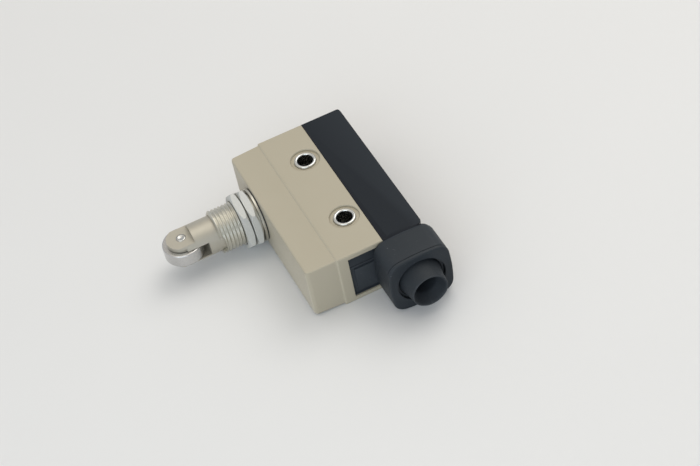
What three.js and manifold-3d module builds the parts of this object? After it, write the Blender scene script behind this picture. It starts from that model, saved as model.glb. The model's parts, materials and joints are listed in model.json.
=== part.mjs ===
// Enclosed limit switch with a roller plunger, in millimetres.
//
// The switch lies on its back. +Z points out of its front face, along the two mounting
// holes, +X points to the cable outlet, and the plunger comes out along -Y. The origin is
// halfway between the mounting holes, on the back face.

import * as THREE from 'three';
import { mergeVertices } from 'three/addons/utils/BufferGeometryUtils.js';
import Module from 'manifold-3d';

const wasm = await Module();
wasm.setup();

// ---------------------------------------------------------------------------
// Driving dimensions

// Enclosure
const bodyLength = 51.5; // along X
const bodyThickness = 17; // along Z
const noseFront = -17; // y of the face that the plunger comes out of
const stepY = -8.3; // y of the small step between the nose and the wide block
const coverJoint = 4.7; // y where the case ends and the terminal cover starts
const coverBack = 16.3; // y of the terminal cover's outer face
const noseInset = 0.4; // how far the nose's ends stand back from the wide block's
const noseDrop = 0.3; // how far the nose's faces stand back from the wide block's
const noseDraft = 0.25; // moulding draft of the nose, from the step to its front
const wall = 1.8; // wall of the case and the cover
const cornerRadius = 1.3; // upright corners of the case
const coverCorner = 2; // upright corners of the terminal cover
const noseRound = 0.7; // long edges of the nose

// Fits
const slip = 0.05; // radial running clearance of what slides or turns
const seatGap = 0.05; // between faces that rest on each other
const pocketGap = 0.3; // around what is dropped into a pocket

// Mounting holes
const holePitch = 25;
const holeBore = 4.3;
const bushWall = 0.85;
const bushColumnWall = 1.3; // case metal around a bush
const trimWidth = 1; // ring sunk into the face around a bush
const trimDepth = 0.6;

// Plunger head
const plungerX = -9.6; // x of the plunger's axis
const plungerDiameter = 10.2;
const shoulderStep = 0.2; // how far the skirt is wider than the plunger
const sleeveWall = 0.45; // from the skirt's bore to the root of the thread
const threadDepth = 0.35;
const sleeveReach = 12.8; // how far the sleeve stands out of the case
const sleeveTail = 4.2; // how far it reaches inside, from the case's front
const collarWidth = 1.45;
const collarThickness = 0.65;
const gasketThickness = 0.35;
const nutWall = 1.35; // from the thread to the nut's flats
const nutThickness = 2.05;
const nutSetBack = 0.6; // from the collar to the inner nut
const nutGap = 0.35; // between the two nuts
const innerNutTurn = 46; // degrees
const outerNutTurn = 43;
const plungerTravel = 4.5;
const shoulderDepth = 8.3; // from the sleeve's mouth to the shoulder in its bore

// Roller
const rollerDiameter = 11;
const rollerWidth = 4;
const rollerReach = 9.15; // from the sleeve's mouth to the roller's centre
const rollerSlotGap = 0.15; // at each side of the roller
const earThickness = 1.35;
const earRadius = 4.1;
const flatLength = 2.7; // of the ears' flats, behind the roller's centre
const rollerRelief = 0.55; // behind the roller, in the fork
const pinDiameter = 2.6;

// Cover screws
const coverScrewInset = 3.9; // from the case's end wall to a screw's axis
const coverScrewThread = 2.5;
const coverScrewHead = 4.6;
const coverScrewHeadHeight = 1.8;
const coverScrewEnd = -1; // y of the screw's tip
const pillarWall = 1.35; // round a screw

// Terminal cover and cable outlet
const bossWidth = 17.8; // along Y
const bossRise = 0.5; // how far the boss stands above the case
const bossOverhang = 2.35; // how far it stands out past the cover's outer face
const bossStart = 0.5; // from the body's end to where the boss takes its full section
const bossLength = 8.7;
const bossRoot = 0.55; // how far the boss's root stands back from its full section
const bossCorner = 4;
const bossCrown = 0.6; // how far each side bulges
const capThickness = 1.05;
const capJoint = 0.15;
const capBore = 13.4;
const glandFlange = 14.2;
const glandFlangeThickness = 1.9;
const glandBase = 12; // diameter of the tube where it meets the flange
const glandMouth = 9.5;
const glandBore = 6.2;
const glandReach = 4.8; // past the cap
const glandFunnel = 2.7; // depth of the funnel in its mouth
const washerThickness = 0.6;
const neckGap = 1.1; // round the gland's bore, behind the gland

// End panel, in the window of the case's end
const windowLow = 1.5; // z, and the same again below the front face
const windowFront = -5.5; // y of its edge towards the nose
const panelRecess = 0.3; // below the case's end
const panelThickness = 1.3;

// Basic switch, and the block that carries it
const switchWidth = 9.4; // along Z
const switchTop = -9; // y of the face with the push button
const switchJoint = -5; // y where its cover meets its base
const switchBottom = -1.2; // y where it rests on the block
const switchWall = 1.1;
const columnGap = 0.5; // from the switch to the columns round the bushes
const buttonInset = 1.85; // from the end of the switch's chamber to the button's axis
const buttonDiameter = 2.4;
const buttonRatio = 0.1; // button travel for each millimetre of plunger travel
const blockFront = 5.2; // y of the block's wide part
const blockThickness = 3;
const blockGap = 0.45; // from the block's ends to the cover screws' pillars
const blockWidth = 11.6;
const terminalPitch = 11;
const terminalThickness = 0.8;
const terminalWidth = 3.2;
const screwDiameter = 2.9;
const screwHead = 5.2;

// ---------------------------------------------------------------------------
// Places that follow from them

const midZ = bodyThickness / 2;
const endX = bodyLength / 2;
const innerX = endX - wall;
const skirtDiameter = plungerDiameter + 2 * shoulderStep;
const skirtBore = skirtDiameter + 2 * slip;
const threadDiameter = skirtBore + 2 * sleeveWall + 2 * threadDepth;
const collarDiameter = threadDiameter + 2 * collarWidth;
const mouthY = noseFront - sleeveReach;
const tailY = noseFront + sleeveTail;
const gasketFront = noseFront - gasketThickness;
const collarFront = gasketFront - collarThickness;
const shoulderY = mouthY + shoulderDepth;
const rollerY = mouthY - rollerReach;
const slotWidth = rollerWidth + 2 * rollerSlotGap;
const earTop = slotWidth / 2 + earThickness; // above and below the plunger's axis
const seatThickness = 0.6;
const skirtRear = tailY - plungerTravel - 3 * slip;
const columnRadius = holeBore / 2 + bushWall + slip + bushColumnWall;
const bushRadius = holeBore / 2 + bushWall;
const bossY = coverBack + bossOverhang - bossWidth / 2;
const bossHeight = bodyThickness + bossRise;
const bossZ = bossHeight / 2;
const bossEnd = endX + bossStart + bossLength;
const capFace = bossEnd + capJoint + capThickness;
const glandSeat = bossEnd + capJoint - washerThickness - seatGap; // outer face of the flange
const switchEnd = holePitch / 2 - columnRadius - columnGap; // half the switch's length
const chamber = switchEnd - switchWall;
const buttonX = buttonInset - chamber;
const coverScrewX = innerX - coverScrewInset;
const pillar = coverScrewThread + 2 * pillarWall;
const blockLength = 2 * (coverScrewX - pillar / 2 - blockGap);
const seatRear = tailY + seatGap + seatThickness;
const actuatorAt = [plungerX, midZ];
const outletAt = [bossY, bossZ];

// ---------------------------------------------------------------------------
// Shapes

const axes = {
  x: [new THREE.Vector3(0, 1, 0), new THREE.Vector3(0, 0, 1), new THREE.Vector3(1, 0, 0)],
  y: [new THREE.Vector3(1, 0, 0), new THREE.Vector3(0, 0, 1), new THREE.Vector3(0, 1, 0)],
  z: [new THREE.Vector3(1, 0, 0), new THREE.Vector3(0, 1, 0), new THREE.Vector3(0, 0, 1)],
};

// A closed three.js geometry as a solid, with its faces turned outwards.
function solid(geometry) {
  const bare = geometry.clone();
  bare.deleteAttribute('normal');
  bare.deleteAttribute('uv');
  const merged = mergeVertices(bare, 1e-5);
  const corners = merged.attributes.position.array;
  const faces = merged.index.array;
  const [a, b, c] = [new THREE.Vector3(), new THREE.Vector3(), new THREE.Vector3()];
  let volume = 0;
  for (let i = 0; i < faces.length; i += 3) {
    a.fromArray(corners, faces[i] * 3);
    b.fromArray(corners, faces[i + 1] * 3);
    c.fromArray(corners, faces[i + 2] * 3);
    volume += a.dot(b.cross(c));
  }
  const triVerts = new Uint32Array(faces);
  if (volume < 0) {
    triVerts.reverse();
  }
  return new wasm.Manifold(new wasm.Mesh({ numProp: 3, vertProperties: new Float32Array(corners), triVerts }));
}

// Puts a geometry made along +Z onto the named axis, at the place across it.
function laid(geometry, axis, [across, up]) {
  const [first, second, along] = axes[axis];
  const matrix = new THREE.Matrix4().makeBasis(first, second, along);
  matrix.setPosition(first.clone().multiplyScalar(across).addScaledVector(second, up));
  return solid(geometry.clone().applyMatrix4(matrix));
}

function box([x0, x1], [y0, y1], [z0, z1]) {
  const geometry = new THREE.BoxGeometry(x1 - x0, y1 - y0, z1 - z0);
  geometry.translate((x0 + x1) / 2, (y0 + y1) / 2, (z0 + z1) / 2);
  return solid(geometry);
}

function rod(axis, diameter, [low, high], at, sides = 24) {
  const geometry = new THREE.CylinderGeometry(diameter / 2, diameter / 2, high - low, sides);
  geometry.rotateX(Math.PI / 2);
  geometry.translate(0, 0, (low + high) / 2);
  return laid(geometry, axis, at);
}

// A turned solid from [diameter, place along the axis] corners.
function turned(axis, corners, at, sides = 32) {
  const outline = corners.map(([diameter, along]) => new THREE.Vector2(diameter / 2, along));
  if (outline[0].x > 0) {
    outline.push(outline[0].clone());
  }
  const geometry = new THREE.LatheGeometry(outline, sides);
  geometry.rotateX(Math.PI / 2);
  return laid(geometry, axis, at);
}

// A tube or ring, with its outer and inner diameters.
function tube(axis, outer, inner, [low, high], at, sides = 32) {
  return turned(axis, [[outer, low], [outer, high], [inner, high], [inner, low]], at, sides);
}

function prism(axis, shape, [low, high], at = [0, 0], curveSegments = 6) {
  const geometry = new THREE.ExtrudeGeometry(shape, { depth: high - low, bevelEnabled: false, curveSegments });
  geometry.translate(0, 0, low);
  return laid(geometry, axis, at);
}

// A rectangle whose four corners have radii of their own, starting at its low corner.
function plate([x0, x1], [y0, y1], [lowLow, highLow, highHigh, lowHigh]) {
  const shape = new THREE.Shape();
  const quarter = Math.PI / 2;
  const corner = (x, y, radius, turn) => {
    if (radius > 0) {
      shape.absarc(x, y, radius, turn * quarter, (turn + 1) * quarter, false);
    } else {
      shape.lineTo(x, y);
    }
  };
  shape.moveTo(x0, y0 + lowLow);
  corner(x0 + lowLow, y0 + lowLow, lowLow, 2);
  corner(x1 - highLow, y0 + highLow, highLow, 3);
  corner(x1 - highHigh, y1 - highHigh, highHigh, 0);
  corner(x0 + lowHigh, y1 - lowHigh, lowHigh, 1);
  shape.closePath();
  return shape;
}

// The section of the conduit boss: a square with bulging sides and round corners.
function crownedSquare(halfWidth, halfHeight, corner, crown) {
  const shape = new THREE.Shape();
  const [w, h] = [halfWidth - corner, halfHeight - corner];
  const [u, v] = [halfWidth - crown, halfHeight - crown];
  shape.moveTo(-w, -v);
  shape.quadraticCurveTo(0, -v - 2 * crown, w, -v);
  shape.quadraticCurveTo(u, -v, u, -h);
  shape.quadraticCurveTo(u + 2 * crown, 0, u, h);
  shape.quadraticCurveTo(u, v, w, v);
  shape.quadraticCurveTo(0, v + 2 * crown, -w, v);
  shape.quadraticCurveTo(-u, v, -u, h);
  shape.quadraticCurveTo(-u - 2 * crown, 0, -u, -h);
  shape.quadraticCurveTo(-u, -v, -w, -v);
  return shape;
}

function hexagon(acrossFlats, turn) {
  const shape = new THREE.Shape();
  const radius = acrossFlats / 2 / Math.cos(Math.PI / 6);
  for (let side = 0; side < 6; side += 1) {
    const angle = THREE.MathUtils.degToRad(turn + side * 60);
    const place = [radius * Math.cos(angle), radius * Math.sin(angle)];
    if (side === 0) {
      shape.moveTo(...place);
    } else {
      shape.lineTo(...place);
    }
  }
  shape.closePath();
  return shape;
}

class Helix extends THREE.Curve {
  constructor(radius, [low, high], turns) {
    super();
    Object.assign(this, { radius, low, high, turns });
  }

  getPoint(t, target = new THREE.Vector3()) {
    const angle = 2 * Math.PI * this.turns * t;
    const along = THREE.MathUtils.lerp(this.low, this.high, t);
    return target.set(this.radius * Math.cos(angle), this.radius * Math.sin(angle), along);
  }
}

// A coil spring between two places along Y, on the plunger's axis.
function coil(outer, wire, [low, high], turns) {
  const section = new THREE.Shape().absarc(0, 0, wire / 2, 0, 2 * Math.PI);
  const path = new Helix((outer - wire) / 2, [low + wire / 2, high - wire / 2], turns);
  const steps = turns * 12;
  const geometry = new THREE.ExtrudeGeometry(section, { steps, extrudePath: path, curveSegments: 3 });
  return laid(geometry, 'y', actuatorAt);
}

// ---------------------------------------------------------------------------
// Finishes

const finish = (color, roughness, metalness) => new THREE.MeshStandardMaterial({ color, roughness, metalness });
const casting = finish(0xb9b29c, 0.45, 0.1);
const blackPlastic = finish(0x2b2e33, 0.5, 0);
const bossPlastic = finish(0x36393d, 0.55, 0);
const rubber = finish(0x26292b, 0.8, 0);
const nickel = finish(0xb4b2a8, 0.35, 0.9);
const zinc = finish(0xa5a49c, 0.45, 0.85);
const steel = finish(0xc0c0bd, 0.3, 1);
const springSteel = finish(0x9a9a98, 0.35, 1);
const phenolic = finish(0x5a3a26, 0.55, 0);
const white = finish(0xd8d4c8, 0.5, 0);
const brass = finish(0xc0a050, 0.35, 1);
const silver = finish(0xd8d8d6, 0.25, 1);

const limitSwitch = new THREE.Group();

function piece(name, shape, material) {
  const mesh = shape.getMesh();
  const geometry = new THREE.BufferGeometry();
  const corners = new Float32Array(mesh.numVert * 3);
  for (let i = 0; i < mesh.numVert; i += 1) {
    corners.set(mesh.vertProperties.subarray(i * mesh.numProp, i * mesh.numProp + 3), i * 3);
  }
  geometry.setAttribute('position', new THREE.BufferAttribute(corners, 3));
  geometry.setIndex(new THREE.BufferAttribute(new Uint32Array(mesh.triVerts), 1));
  geometry.computeVertexNormals();
  const part = new THREE.Mesh(geometry, material);
  part.name = name;
  limitSwitch.add(part);
}

// ---------------------------------------------------------------------------
// Enclosure

const holes = [-holePitch / 2, holePitch / 2];

// The nose narrows a little towards its front, as it leaves the mould.
function nose() {
  const [x, z] = [endX - noseInset, midZ - noseDrop];
  const outline = plate([-x, x], [noseFront, stepY + 1], [cornerRadius, cornerRadius, 0, 0]);
  const block = prism('z', outline, [midZ - z, midZ + z]);
  const mesh = block.getMesh();
  const corners = new Float32Array(mesh.vertProperties);
  for (let i = 0; i < corners.length; i += 3) {
    const share = Math.max(0, (stepY - corners[i + 1]) / (stepY - noseFront));
    corners[i] *= 1 - (share * noseDraft) / x;
    corners[i + 2] = midZ + (corners[i + 2] - midZ) * (1 - (share * noseDraft) / z);
  }
  const drafted = new wasm.Mesh({ numProp: 3, vertProperties: corners, triVerts: mesh.triVerts });
  return new wasm.Manifold(drafted).intersect(roundedNoseBlank(x, z));
}

// A bar along X that rounds the nose's two long front edges.
function roundedNoseBlank(x, z) {
  const reach = z - noseDraft;
  const outline = plate([noseFront, coverJoint], [midZ - z, midZ + z], [0, 0, 0, 0]);
  const bar = prism('x', outline, [-x, x]);
  const keep = noseRound;
  const edges = [midZ - reach, midZ + reach].map((edge) => {
    const side = Math.sign(edge - midZ);
    const across = sorted(edge - side * keep, edge + side);
    const square = box([-x - 1, x + 1], [noseFront - 1, noseFront + keep], across);
    return square.subtract(rod('x', 2 * keep, [-x - 2, x + 2], [noseFront + keep, edge - side * keep], 32));
  });
  return edges.reduce((left, edge) => left.subtract(edge), bar);
}

function sorted(a, b) {
  return a < b ? [a, b] : [b, a];
}

function caseBody() {
  const outline = plate([-endX, endX], [stepY, coverJoint], [cornerRadius, cornerRadius, 0, 0]);
  let body = prism('z', outline, [0, bodyThickness]).add(nose());
  const inside = [wall, bodyThickness - wall];
  body = body.subtract(box([-innerX, innerX], [noseFront + wall, coverJoint + 1], inside));
  for (const x of holes) {
    body = body.add(rod('z', 2 * columnRadius, [wall / 2, bodyThickness - wall / 2], [x, 0])
      .trimByPlane([0, -1, 0], -coverJoint));
  }
  for (const side of [-1, 1]) {
    const x = sorted(side * (coverScrewX - pillar / 2), side * (coverScrewX + pillar / 2));
    body = body.add(box(x, [coverScrewEnd - 1, coverJoint], [wall / 2, bodyThickness - wall / 2]));
    body = body.subtract(rod('y', coverScrewThread + 2 * slip, [coverScrewEnd - seatGap, coverJoint + 1],
      [side * coverScrewX, midZ], 16));
  }
  const rib = { half: 3, thickness: 0.95 };
  const beside = threadDiameter / 4;
  for (const z of [[wall / 2, midZ - beside], [midZ + beside, bodyThickness - wall / 2]]) {
    body = body.add(box([plungerX - rib.half, plungerX + rib.half],
      [seatRear + seatGap, seatRear + seatGap + rib.thickness], z));
  }
  for (const x of holes) {
    body = body.subtract(rod('z', 2 * bushRadius + 2 * slip, [-1, bodyThickness + 1], [x, 0], 32));
    for (const face of [[-1, trimDepth], [bodyThickness - trimDepth, bodyThickness + 1]]) {
      body = body.subtract(rod('z', 2 * (bushRadius + trimWidth), face, [x, 0], 32));
    }
  }
  body = body.subtract(rod('y', threadDiameter + 2 * slip, [noseFront - 1, seatRear + seatGap],
    actuatorAt, 48));
  body = body.subtract(rod('y', ringDiameter + pocketGap, [noseFront + wall - seatGap, ringRear + pocketGap],
    actuatorAt, 48));
  const window = [windowLow, bodyThickness - windowLow];
  return body.subtract(box([innerX - 1, endX + 1], [windowFront, coverJoint + 1], window));
}

function bush(x) {
  const lip = 0.35;
  const [bore, outer] = [holeBore, 2 * bushRadius];
  const top = bodyThickness;
  return turned('z', [[bore, lip], [bore + lip, 0], [outer - lip, 0], [outer, lip], [outer, top - lip],
    [outer - lip, top], [bore + lip, top], [bore, top - lip]], [x, 0]);
}

// ---------------------------------------------------------------------------
// Terminal cover with its conduit boss

const bossSection = () => crownedSquare(bossWidth / 2, bossHeight / 2, bossCorner, bossCrown);
const bossBore = glandFlange + 2 * slip;
const bossNeck = glandBore + 2 * neckGap;
const gasketGroove = { inset: 0.5, width: 0.8, depth: 0.6 };
const glandBack = glandSeat - glandFlangeThickness;

function terminalCover() {
  const outline = plate([-endX, endX], [coverJoint + seatGap, coverBack], [0, 0, coverCorner, coverCorner]);
  let cover = prism('z', outline, [0, bodyThickness]);
  cover = cover.subtract(box([-innerX, innerX], [coverJoint - 1, coverBack - wall],
    [wall, bodyThickness - wall]));
  const start = endX + bossStart;
  const rootSection = crownedSquare(bossWidth / 2 - bossRoot, bossHeight / 2 - bossRoot, bossCorner, bossCrown);
  const root = prism('x', rootSection, [endX - 1, start + 1], outletAt, 5)
    .subtract(box([endX - 2, endX + pocketGap], [noseFront, coverJoint + seatGap], [-1, bossHeight + 1]))
    .subtract(box([endX - 2, endX], [coverBack - wall, coverBack + bossWidth], [-1, bossHeight + 1]));
  cover = cover.add(root).add(prism('x', bossSection(), [start, bossEnd], outletAt, 5));
  for (const side of [-1, 1]) {
    const at = [side * coverScrewX, midZ];
    cover = cover.add(rod('y', pillar, [coverJoint + seatGap, coverBack - wall / 2], at));
    cover = cover.subtract(rod('y', coverScrewThread + 4 * slip, [coverJoint - 1, coverBack + 1], at, 16));
    cover = cover.subtract(rod('y', coverScrewHead + pocketGap,
      [coverBack - coverScrewHeadHeight - pocketGap, coverBack + 1], at));
  }
  cover = cover.subtract(gasketRing([coverJoint - 1, coverJoint + gasketGroove.depth], 0));
  cover = cover.subtract(rod('x', bossNeck, [innerX - 2, bossEnd + 1], outletAt));
  return cover.subtract(rod('x', bossBore, [glandBack - seatGap, bossEnd + 1], outletAt, 48));
}

// The gasket in the cover's joint face, or with no gap the groove that it lies in.
function gasketRing(span, gap) {
  const outline = (inset) => plate([inset - endX, endX - inset], [inset, bodyThickness - inset], [0, 0, 0, 0]);
  const frame = (inset, margin) => prism('y', outline(inset), [span[0] - margin, span[1] + margin]);
  const { inset, width } = gasketGroove;
  return frame(inset + gap, 0).subtract(frame(inset + width - gap, 1));
}

function conduitCap() {
  const cap = prism('x', bossSection(), [bossEnd + capJoint, capFace], outletAt, 5);
  return cap.subtract(rod('x', capBore, [bossEnd, capFace + 1], outletAt, 48));
}

function cableGland() {
  const mouthX = capFace + glandReach;
  const rim = 0.55;
  const throatX = mouthX - glandFunnel;
  return turned('x', [[glandBore, glandBack], [glandFlange, glandBack], [glandFlange, glandSeat],
    [glandBase, glandSeat], [glandMouth, mouthX - rim], [glandMouth, mouthX], [glandMouth - 2 * rim, mouthX],
    [glandBore, throatX]], outletAt, 40);
}

function screw(axis, at, seat, { thread, length, head, headHeight, slot }) {
  const driver = slot / 2;
  const shape = rod(axis, thread, [seat - length, seat + seatGap], at, 16)
    .add(turned(axis, [[0, seat], [head, seat], [head, seat + headHeight - driver], [head - 2 * driver,
      seat + headHeight], [0, seat + headHeight]], at, 24));
  const reach = head;
  const cut = [seat + headHeight - driver, seat + headHeight + 1];
  const across = [[at[0] - reach, at[0] + reach], [at[1] - slot / 2, at[1] + slot / 2]];
  return shape.subtract(box(across[0], cut, across[1]));
}

// ---------------------------------------------------------------------------
// End panel

function endPanel() {
  const outer = endX - panelRecess;
  const z = [windowLow + slip, bodyThickness - windowLow - slip];
  const y = [windowFront + slip, coverJoint - slip];
  const bevel = 3;
  const slope = 0.7;
  const pad = { inset: 1, raise: 0.15, groove: 0.3, depth: 0.5 };
  const tongueReach = 0.8; // past the window, inside the case
  let panel = box([outer - panelThickness, outer], y, z);
  const chamfer = new THREE.Shape([[outer - slope, z[1] + 1], [outer + 1, z[1] + 1], [outer + 1, z[1] - bevel],
    [outer, z[1] - bevel], [outer - slope, z[1]]].map((corner) => new THREE.Vector2(...corner)));
  panel = panel.subtract(prism('y', chamfer, [y[0] + pocketGap, y[1] + 1]));
  const frame = [y[0] + pad.inset, y[1] + 1];
  const field = [z[0] + pad.inset, z[1] - bevel];
  panel = panel.subtract(box([outer - pad.depth, outer + 1], frame, field));
  const padShape = plate([frame[0] + pad.groove, y[1]], [field[0] + pad.groove, field[1] - pad.groove],
    [1, 0, 0, 1]);
  panel = panel.add(prism('x', padShape, [outer - pad.depth - 0.1, outer + pad.raise]));
  const inside = [wall + slip, bodyThickness - wall - slip];
  const tongue = box([innerX - tongueReach, innerX - seatGap], [y[0] - tongueReach, y[1]], inside);
  return panel.add(tongue).add(box([innerX - tongueReach / 2, outer - panelThickness / 2], y, inside));
}

// ---------------------------------------------------------------------------
// Plunger head

const ringHeight = 0.45; // how far the ring stands out of the sleeve
const ringDiameter = threadDiameter + 2 * ringHeight;
const ringThickness = 0.8;
const ringGroove = 0.4; // how deep the ring sits in the sleeve
const ringFront = noseFront + wall + seatGap;
const ringRear = ringFront + ringThickness;
const notchRelief = 0.3; // behind the roller, when the plunger is pressed in
const guidePinDiameter = 1.4;
const guidePinY = mouthY + 1.2;
const guideDepth = 0.8;

function sleeve() {
  const chamfer = threadDepth;
  const bore = plungerDiameter + 2 * slip;
  let shape = turned('y', [
    [bore, mouthY], [threadDiameter - 2 * chamfer, mouthY], [threadDiameter, mouthY + chamfer],
    [threadDiameter, collarFront], [collarDiameter, collarFront], [collarDiameter, gasketFront],
    [threadDiameter, gasketFront], [threadDiameter, tailY], [skirtBore, tailY], [skirtBore, shoulderY],
    [bore, shoulderY]], actuatorAt, 48);
  shape = shape.subtract(tube('y', threadDiameter + 2, threadDiameter - 2 * ringGroove,
    [ringFront - seatGap, ringRear + seatGap], actuatorAt));
  const notch = slotWidth + 2 * rollerSlotGap;
  const bottom = rollerY + rollerDiameter / 2 + plungerTravel + notchRelief;
  shape = shape.subtract(box([plungerX - threadDiameter, plungerX + threadDiameter], [mouthY - 1, bottom],
    [midZ - notch / 2, midZ + notch / 2]));
  return shape.subtract(rod('z', guidePinDiameter + 2 * slip, [midZ - threadDiameter, midZ],
    [plungerX, guidePinY], 16));
}

function guidePin() {
  const root = threadDiameter / 2 - threadDepth;
  const inner = plungerDiameter / 2 - guideDepth + 2 * slip;
  return rod('z', guidePinDiameter, [midZ - root, midZ - inner], [plungerX, guidePinY], 16);
}

function nut(rear, turn) {
  const flats = threadDiameter + 2 * nutWall;
  const corner = flats / Math.cos(Math.PI / 6);
  const chamfer = (corner - flats) / 2;
  const front = rear - nutThickness;
  const rise = chamfer * Math.tan(Math.PI / 6);
  const blank = turned('y', [[0, front], [flats, front], [corner, front + rise], [corner, rear - rise],
    [flats, rear], [0, rear]], actuatorAt, 48);
  return prism('y', hexagon(flats, turn), [front, rear], actuatorAt).intersect(blank)
    .subtract(rod('y', threadDiameter + 2 * slip, [front - 1, rear + 1], actuatorAt, 48));
}

// Bores in the plunger, from its rear: a wide one for the return spring, then a narrow one.
const skirtWall = 1.3;
const springBore = skirtDiameter - 2 * skirtWall;
const narrowDepth = 6.5; // of the narrow bore
const wideFloor = shoulderY - 0.9;
const rodDiameter = 3;
const rodFlange = 4.9;
const rodFlangeThickness = 0.8;
const narrowBore = rodFlange + 0.5;
const narrowFloor = wideFloor - narrowDepth;
const stopThickness = 0.5;
const slotRoot = rollerY + rollerDiameter / 2 + rollerRelief;
const sealDiameter = 1;
const sealY = shoulderY - 5.2;

function plunger() {
  const front = rollerY - earRadius;
  const flatRear = rollerY + flatLength;
  let shape = turned('y', [[0, front], [plungerDiameter, front], [plungerDiameter, shoulderY + slip],
    [skirtDiameter, shoulderY + slip], [skirtDiameter, skirtRear], [springBore, skirtRear],
    [springBore, wideFloor], [narrowBore, wideFloor], [narrowBore, narrowFloor], [0, narrowFloor]],
  actuatorAt, 48);
  const fork = [midZ - slotWidth / 2, midZ + slotWidth / 2];
  const across = [plungerX - plungerDiameter, plungerX + plungerDiameter];
  shape = shape.subtract(box(across, [front - 1, slotRoot], fork));
  for (const side of [-1, 1]) {
    const z = sorted(midZ + side * earTop, midZ + side * plungerDiameter);
    shape = shape.subtract(box(across, [front - 1, flatRear], z));
  }
  shape = shape.subtract(earOutside(front, flatRear));
  shape = shape.subtract(tube('y', plungerDiameter + 2, plungerDiameter - 2 * sealDiameter + 4 * slip,
    [sealY - sealDiameter / 2 - slip, sealY + sealDiameter / 2 + slip], actuatorAt, 48));
  const groove = [guidePinY - guidePinDiameter / 2 - plungerTravel - 2 * slip, guidePinY + guidePinDiameter];
  const half = guidePinDiameter / 2 + slip;
  shape = shape.subtract(box([plungerX - half, plungerX + half], groove,
    [midZ - plungerDiameter, midZ - plungerDiameter / 2 + guideDepth]));
  return shape.subtract(rod('z', pinDiameter + 2 * slip, [midZ - earTop - 1, midZ + earTop + 1],
    [plungerX, rollerY]));
}

// What is milled away around the round ends of the plunger's two ears.
function earOutside(front, flatRear) {
  const blank = box([plungerX - plungerDiameter, plungerX + plungerDiameter], [front - 1, rollerY],
    [midZ - earTop - 1, midZ + earTop + 1]);
  const kept = rod('z', 2 * earRadius, [midZ - earTop - 2, midZ + earTop + 2], [plungerX, rollerY], 32);
  const neck = plate([plungerX - earRadius, plungerX + earRadius], [rollerY - 0.01, flatRear], [0, 0, 0, 0]);
  return blank.subtract(kept).subtract(prism('z', neck, [0, bodyThickness]));
}

function roller() {
  const edge = 0.35;
  const hub = pinDiameter + 2 * slip;
  const [low, high] = [midZ - rollerWidth / 2, midZ + rollerWidth / 2];
  return turned('z', [[hub, low], [rollerDiameter - 2 * edge, low], [rollerDiameter, low + edge],
    [rollerDiameter, high - edge], [rollerDiameter - 2 * edge, high], [hub, high]], [plungerX, rollerY], 48);
}

function rollerPin() {
  const head = 0.12;
  const reach = earTop + head;
  const chamfer = 0.3;
  return turned('z', [[0, midZ - reach], [pinDiameter - 2 * chamfer, midZ - reach],
    [pinDiameter, midZ - reach + head], [pinDiameter, midZ + reach - head],
    [pinDiameter - 2 * chamfer, midZ + reach], [0, midZ + reach]], [plungerX, rollerY], 24);
}

const footTravel = plungerTravel * buttonRatio;
const buttonTop = switchTop - footTravel - 0.6;
const footRear = buttonTop - seatGap;
const footThickness = 0.8;
const footRim = 0.5; // round the rod
const rodFront = wideFloor - seatGap - rodFlangeThickness;

function pushRod() {
  return turned('y', [[0, rodFront], [rodFlange, rodFront], [rodFlange, rodFront + rodFlangeThickness],
    [rodDiameter, rodFront + rodFlangeThickness], [rodDiameter, footRear], [0, footRear]], actuatorAt, 24);
}

function pushFoot() {
  const half = rodDiameter / 2 + footRim;
  const outline = plate([plungerX - half, buttonX + half], [midZ - half, midZ + half], [1, 1, 1, 1]);
  return prism('y', outline, [footRear - footThickness, footRear])
    .subtract(rod('y', rodDiameter + slip, [footRear - 2, footRear + 1], actuatorAt));
}

// ---------------------------------------------------------------------------
// Basic switch

const chamberTop = switchTop + switchWall;
const chamberBottom = switchJoint + 1.4;
const chamberZ = [midZ - switchWidth / 2 + switchWall, midZ + switchWidth / 2 - switchWall];
const contactDiameter = 2;
const contactX = chamber - 1.9;
const contactGap = 0.45;
const bladeThickness = 0.25;
const bladeTop = switchTop + 2.7;
const pivotX = -chamber + 0.5;
const blockRear = blockFront + blockThickness;
const stripThickness = 0.4;
const stripZ = [midZ - terminalWidth / 2, midZ + terminalWidth / 2];
const strips = { common: pivotX + 0.3, open: chamber - 3.6, closed: chamber - 0.5 };

function stripSlots(span) {
  const [low, high] = [stripZ[0] - slip, stripZ[1] + slip];
  const half = stripThickness / 2 + slip;
  return Object.values(strips).map((x) => box([x - half, x + half], span, [low, high]));
}

function switchCover() {
  const z = [midZ - switchWidth / 2, midZ + switchWidth / 2];
  const shell = box([-switchEnd, switchEnd], [switchTop, switchJoint - seatGap], z)
    .subtract(box([-chamber, chamber], [chamberTop, switchJoint + 1], chamberZ));
  return shell.subtract(rod('y', buttonDiameter + 2 * slip, [switchTop - 1, chamberTop + 1],
    [buttonX, midZ], 20));
}

function switchBase() {
  const z = [midZ - switchWidth / 2, midZ + switchWidth / 2];
  const tray = box([-switchEnd, switchEnd], [switchJoint, switchBottom], z)
    .subtract(box([-chamber, chamber], [switchJoint - 1, chamberBottom], chamberZ));
  return stripSlots([switchJoint - 1, switchBottom + 1]).reduce((left, slot) => left.subtract(slot), tray);
}

function pushButton() {
  const flange = buttonDiameter + 1;
  const flangeTop = chamberTop + seatGap;
  const tip = bladeTop - footTravel - seatGap;
  return turned('y', [[0, buttonTop], [buttonDiameter - 0.5, buttonTop], [buttonDiameter, buttonTop + 0.3],
    [buttonDiameter, flangeTop], [flange, flangeTop], [flange, flangeTop + 0.5], [buttonDiameter - 0.8, tip],
    [0, tip]], [buttonX, midZ], 20);
}

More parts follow.
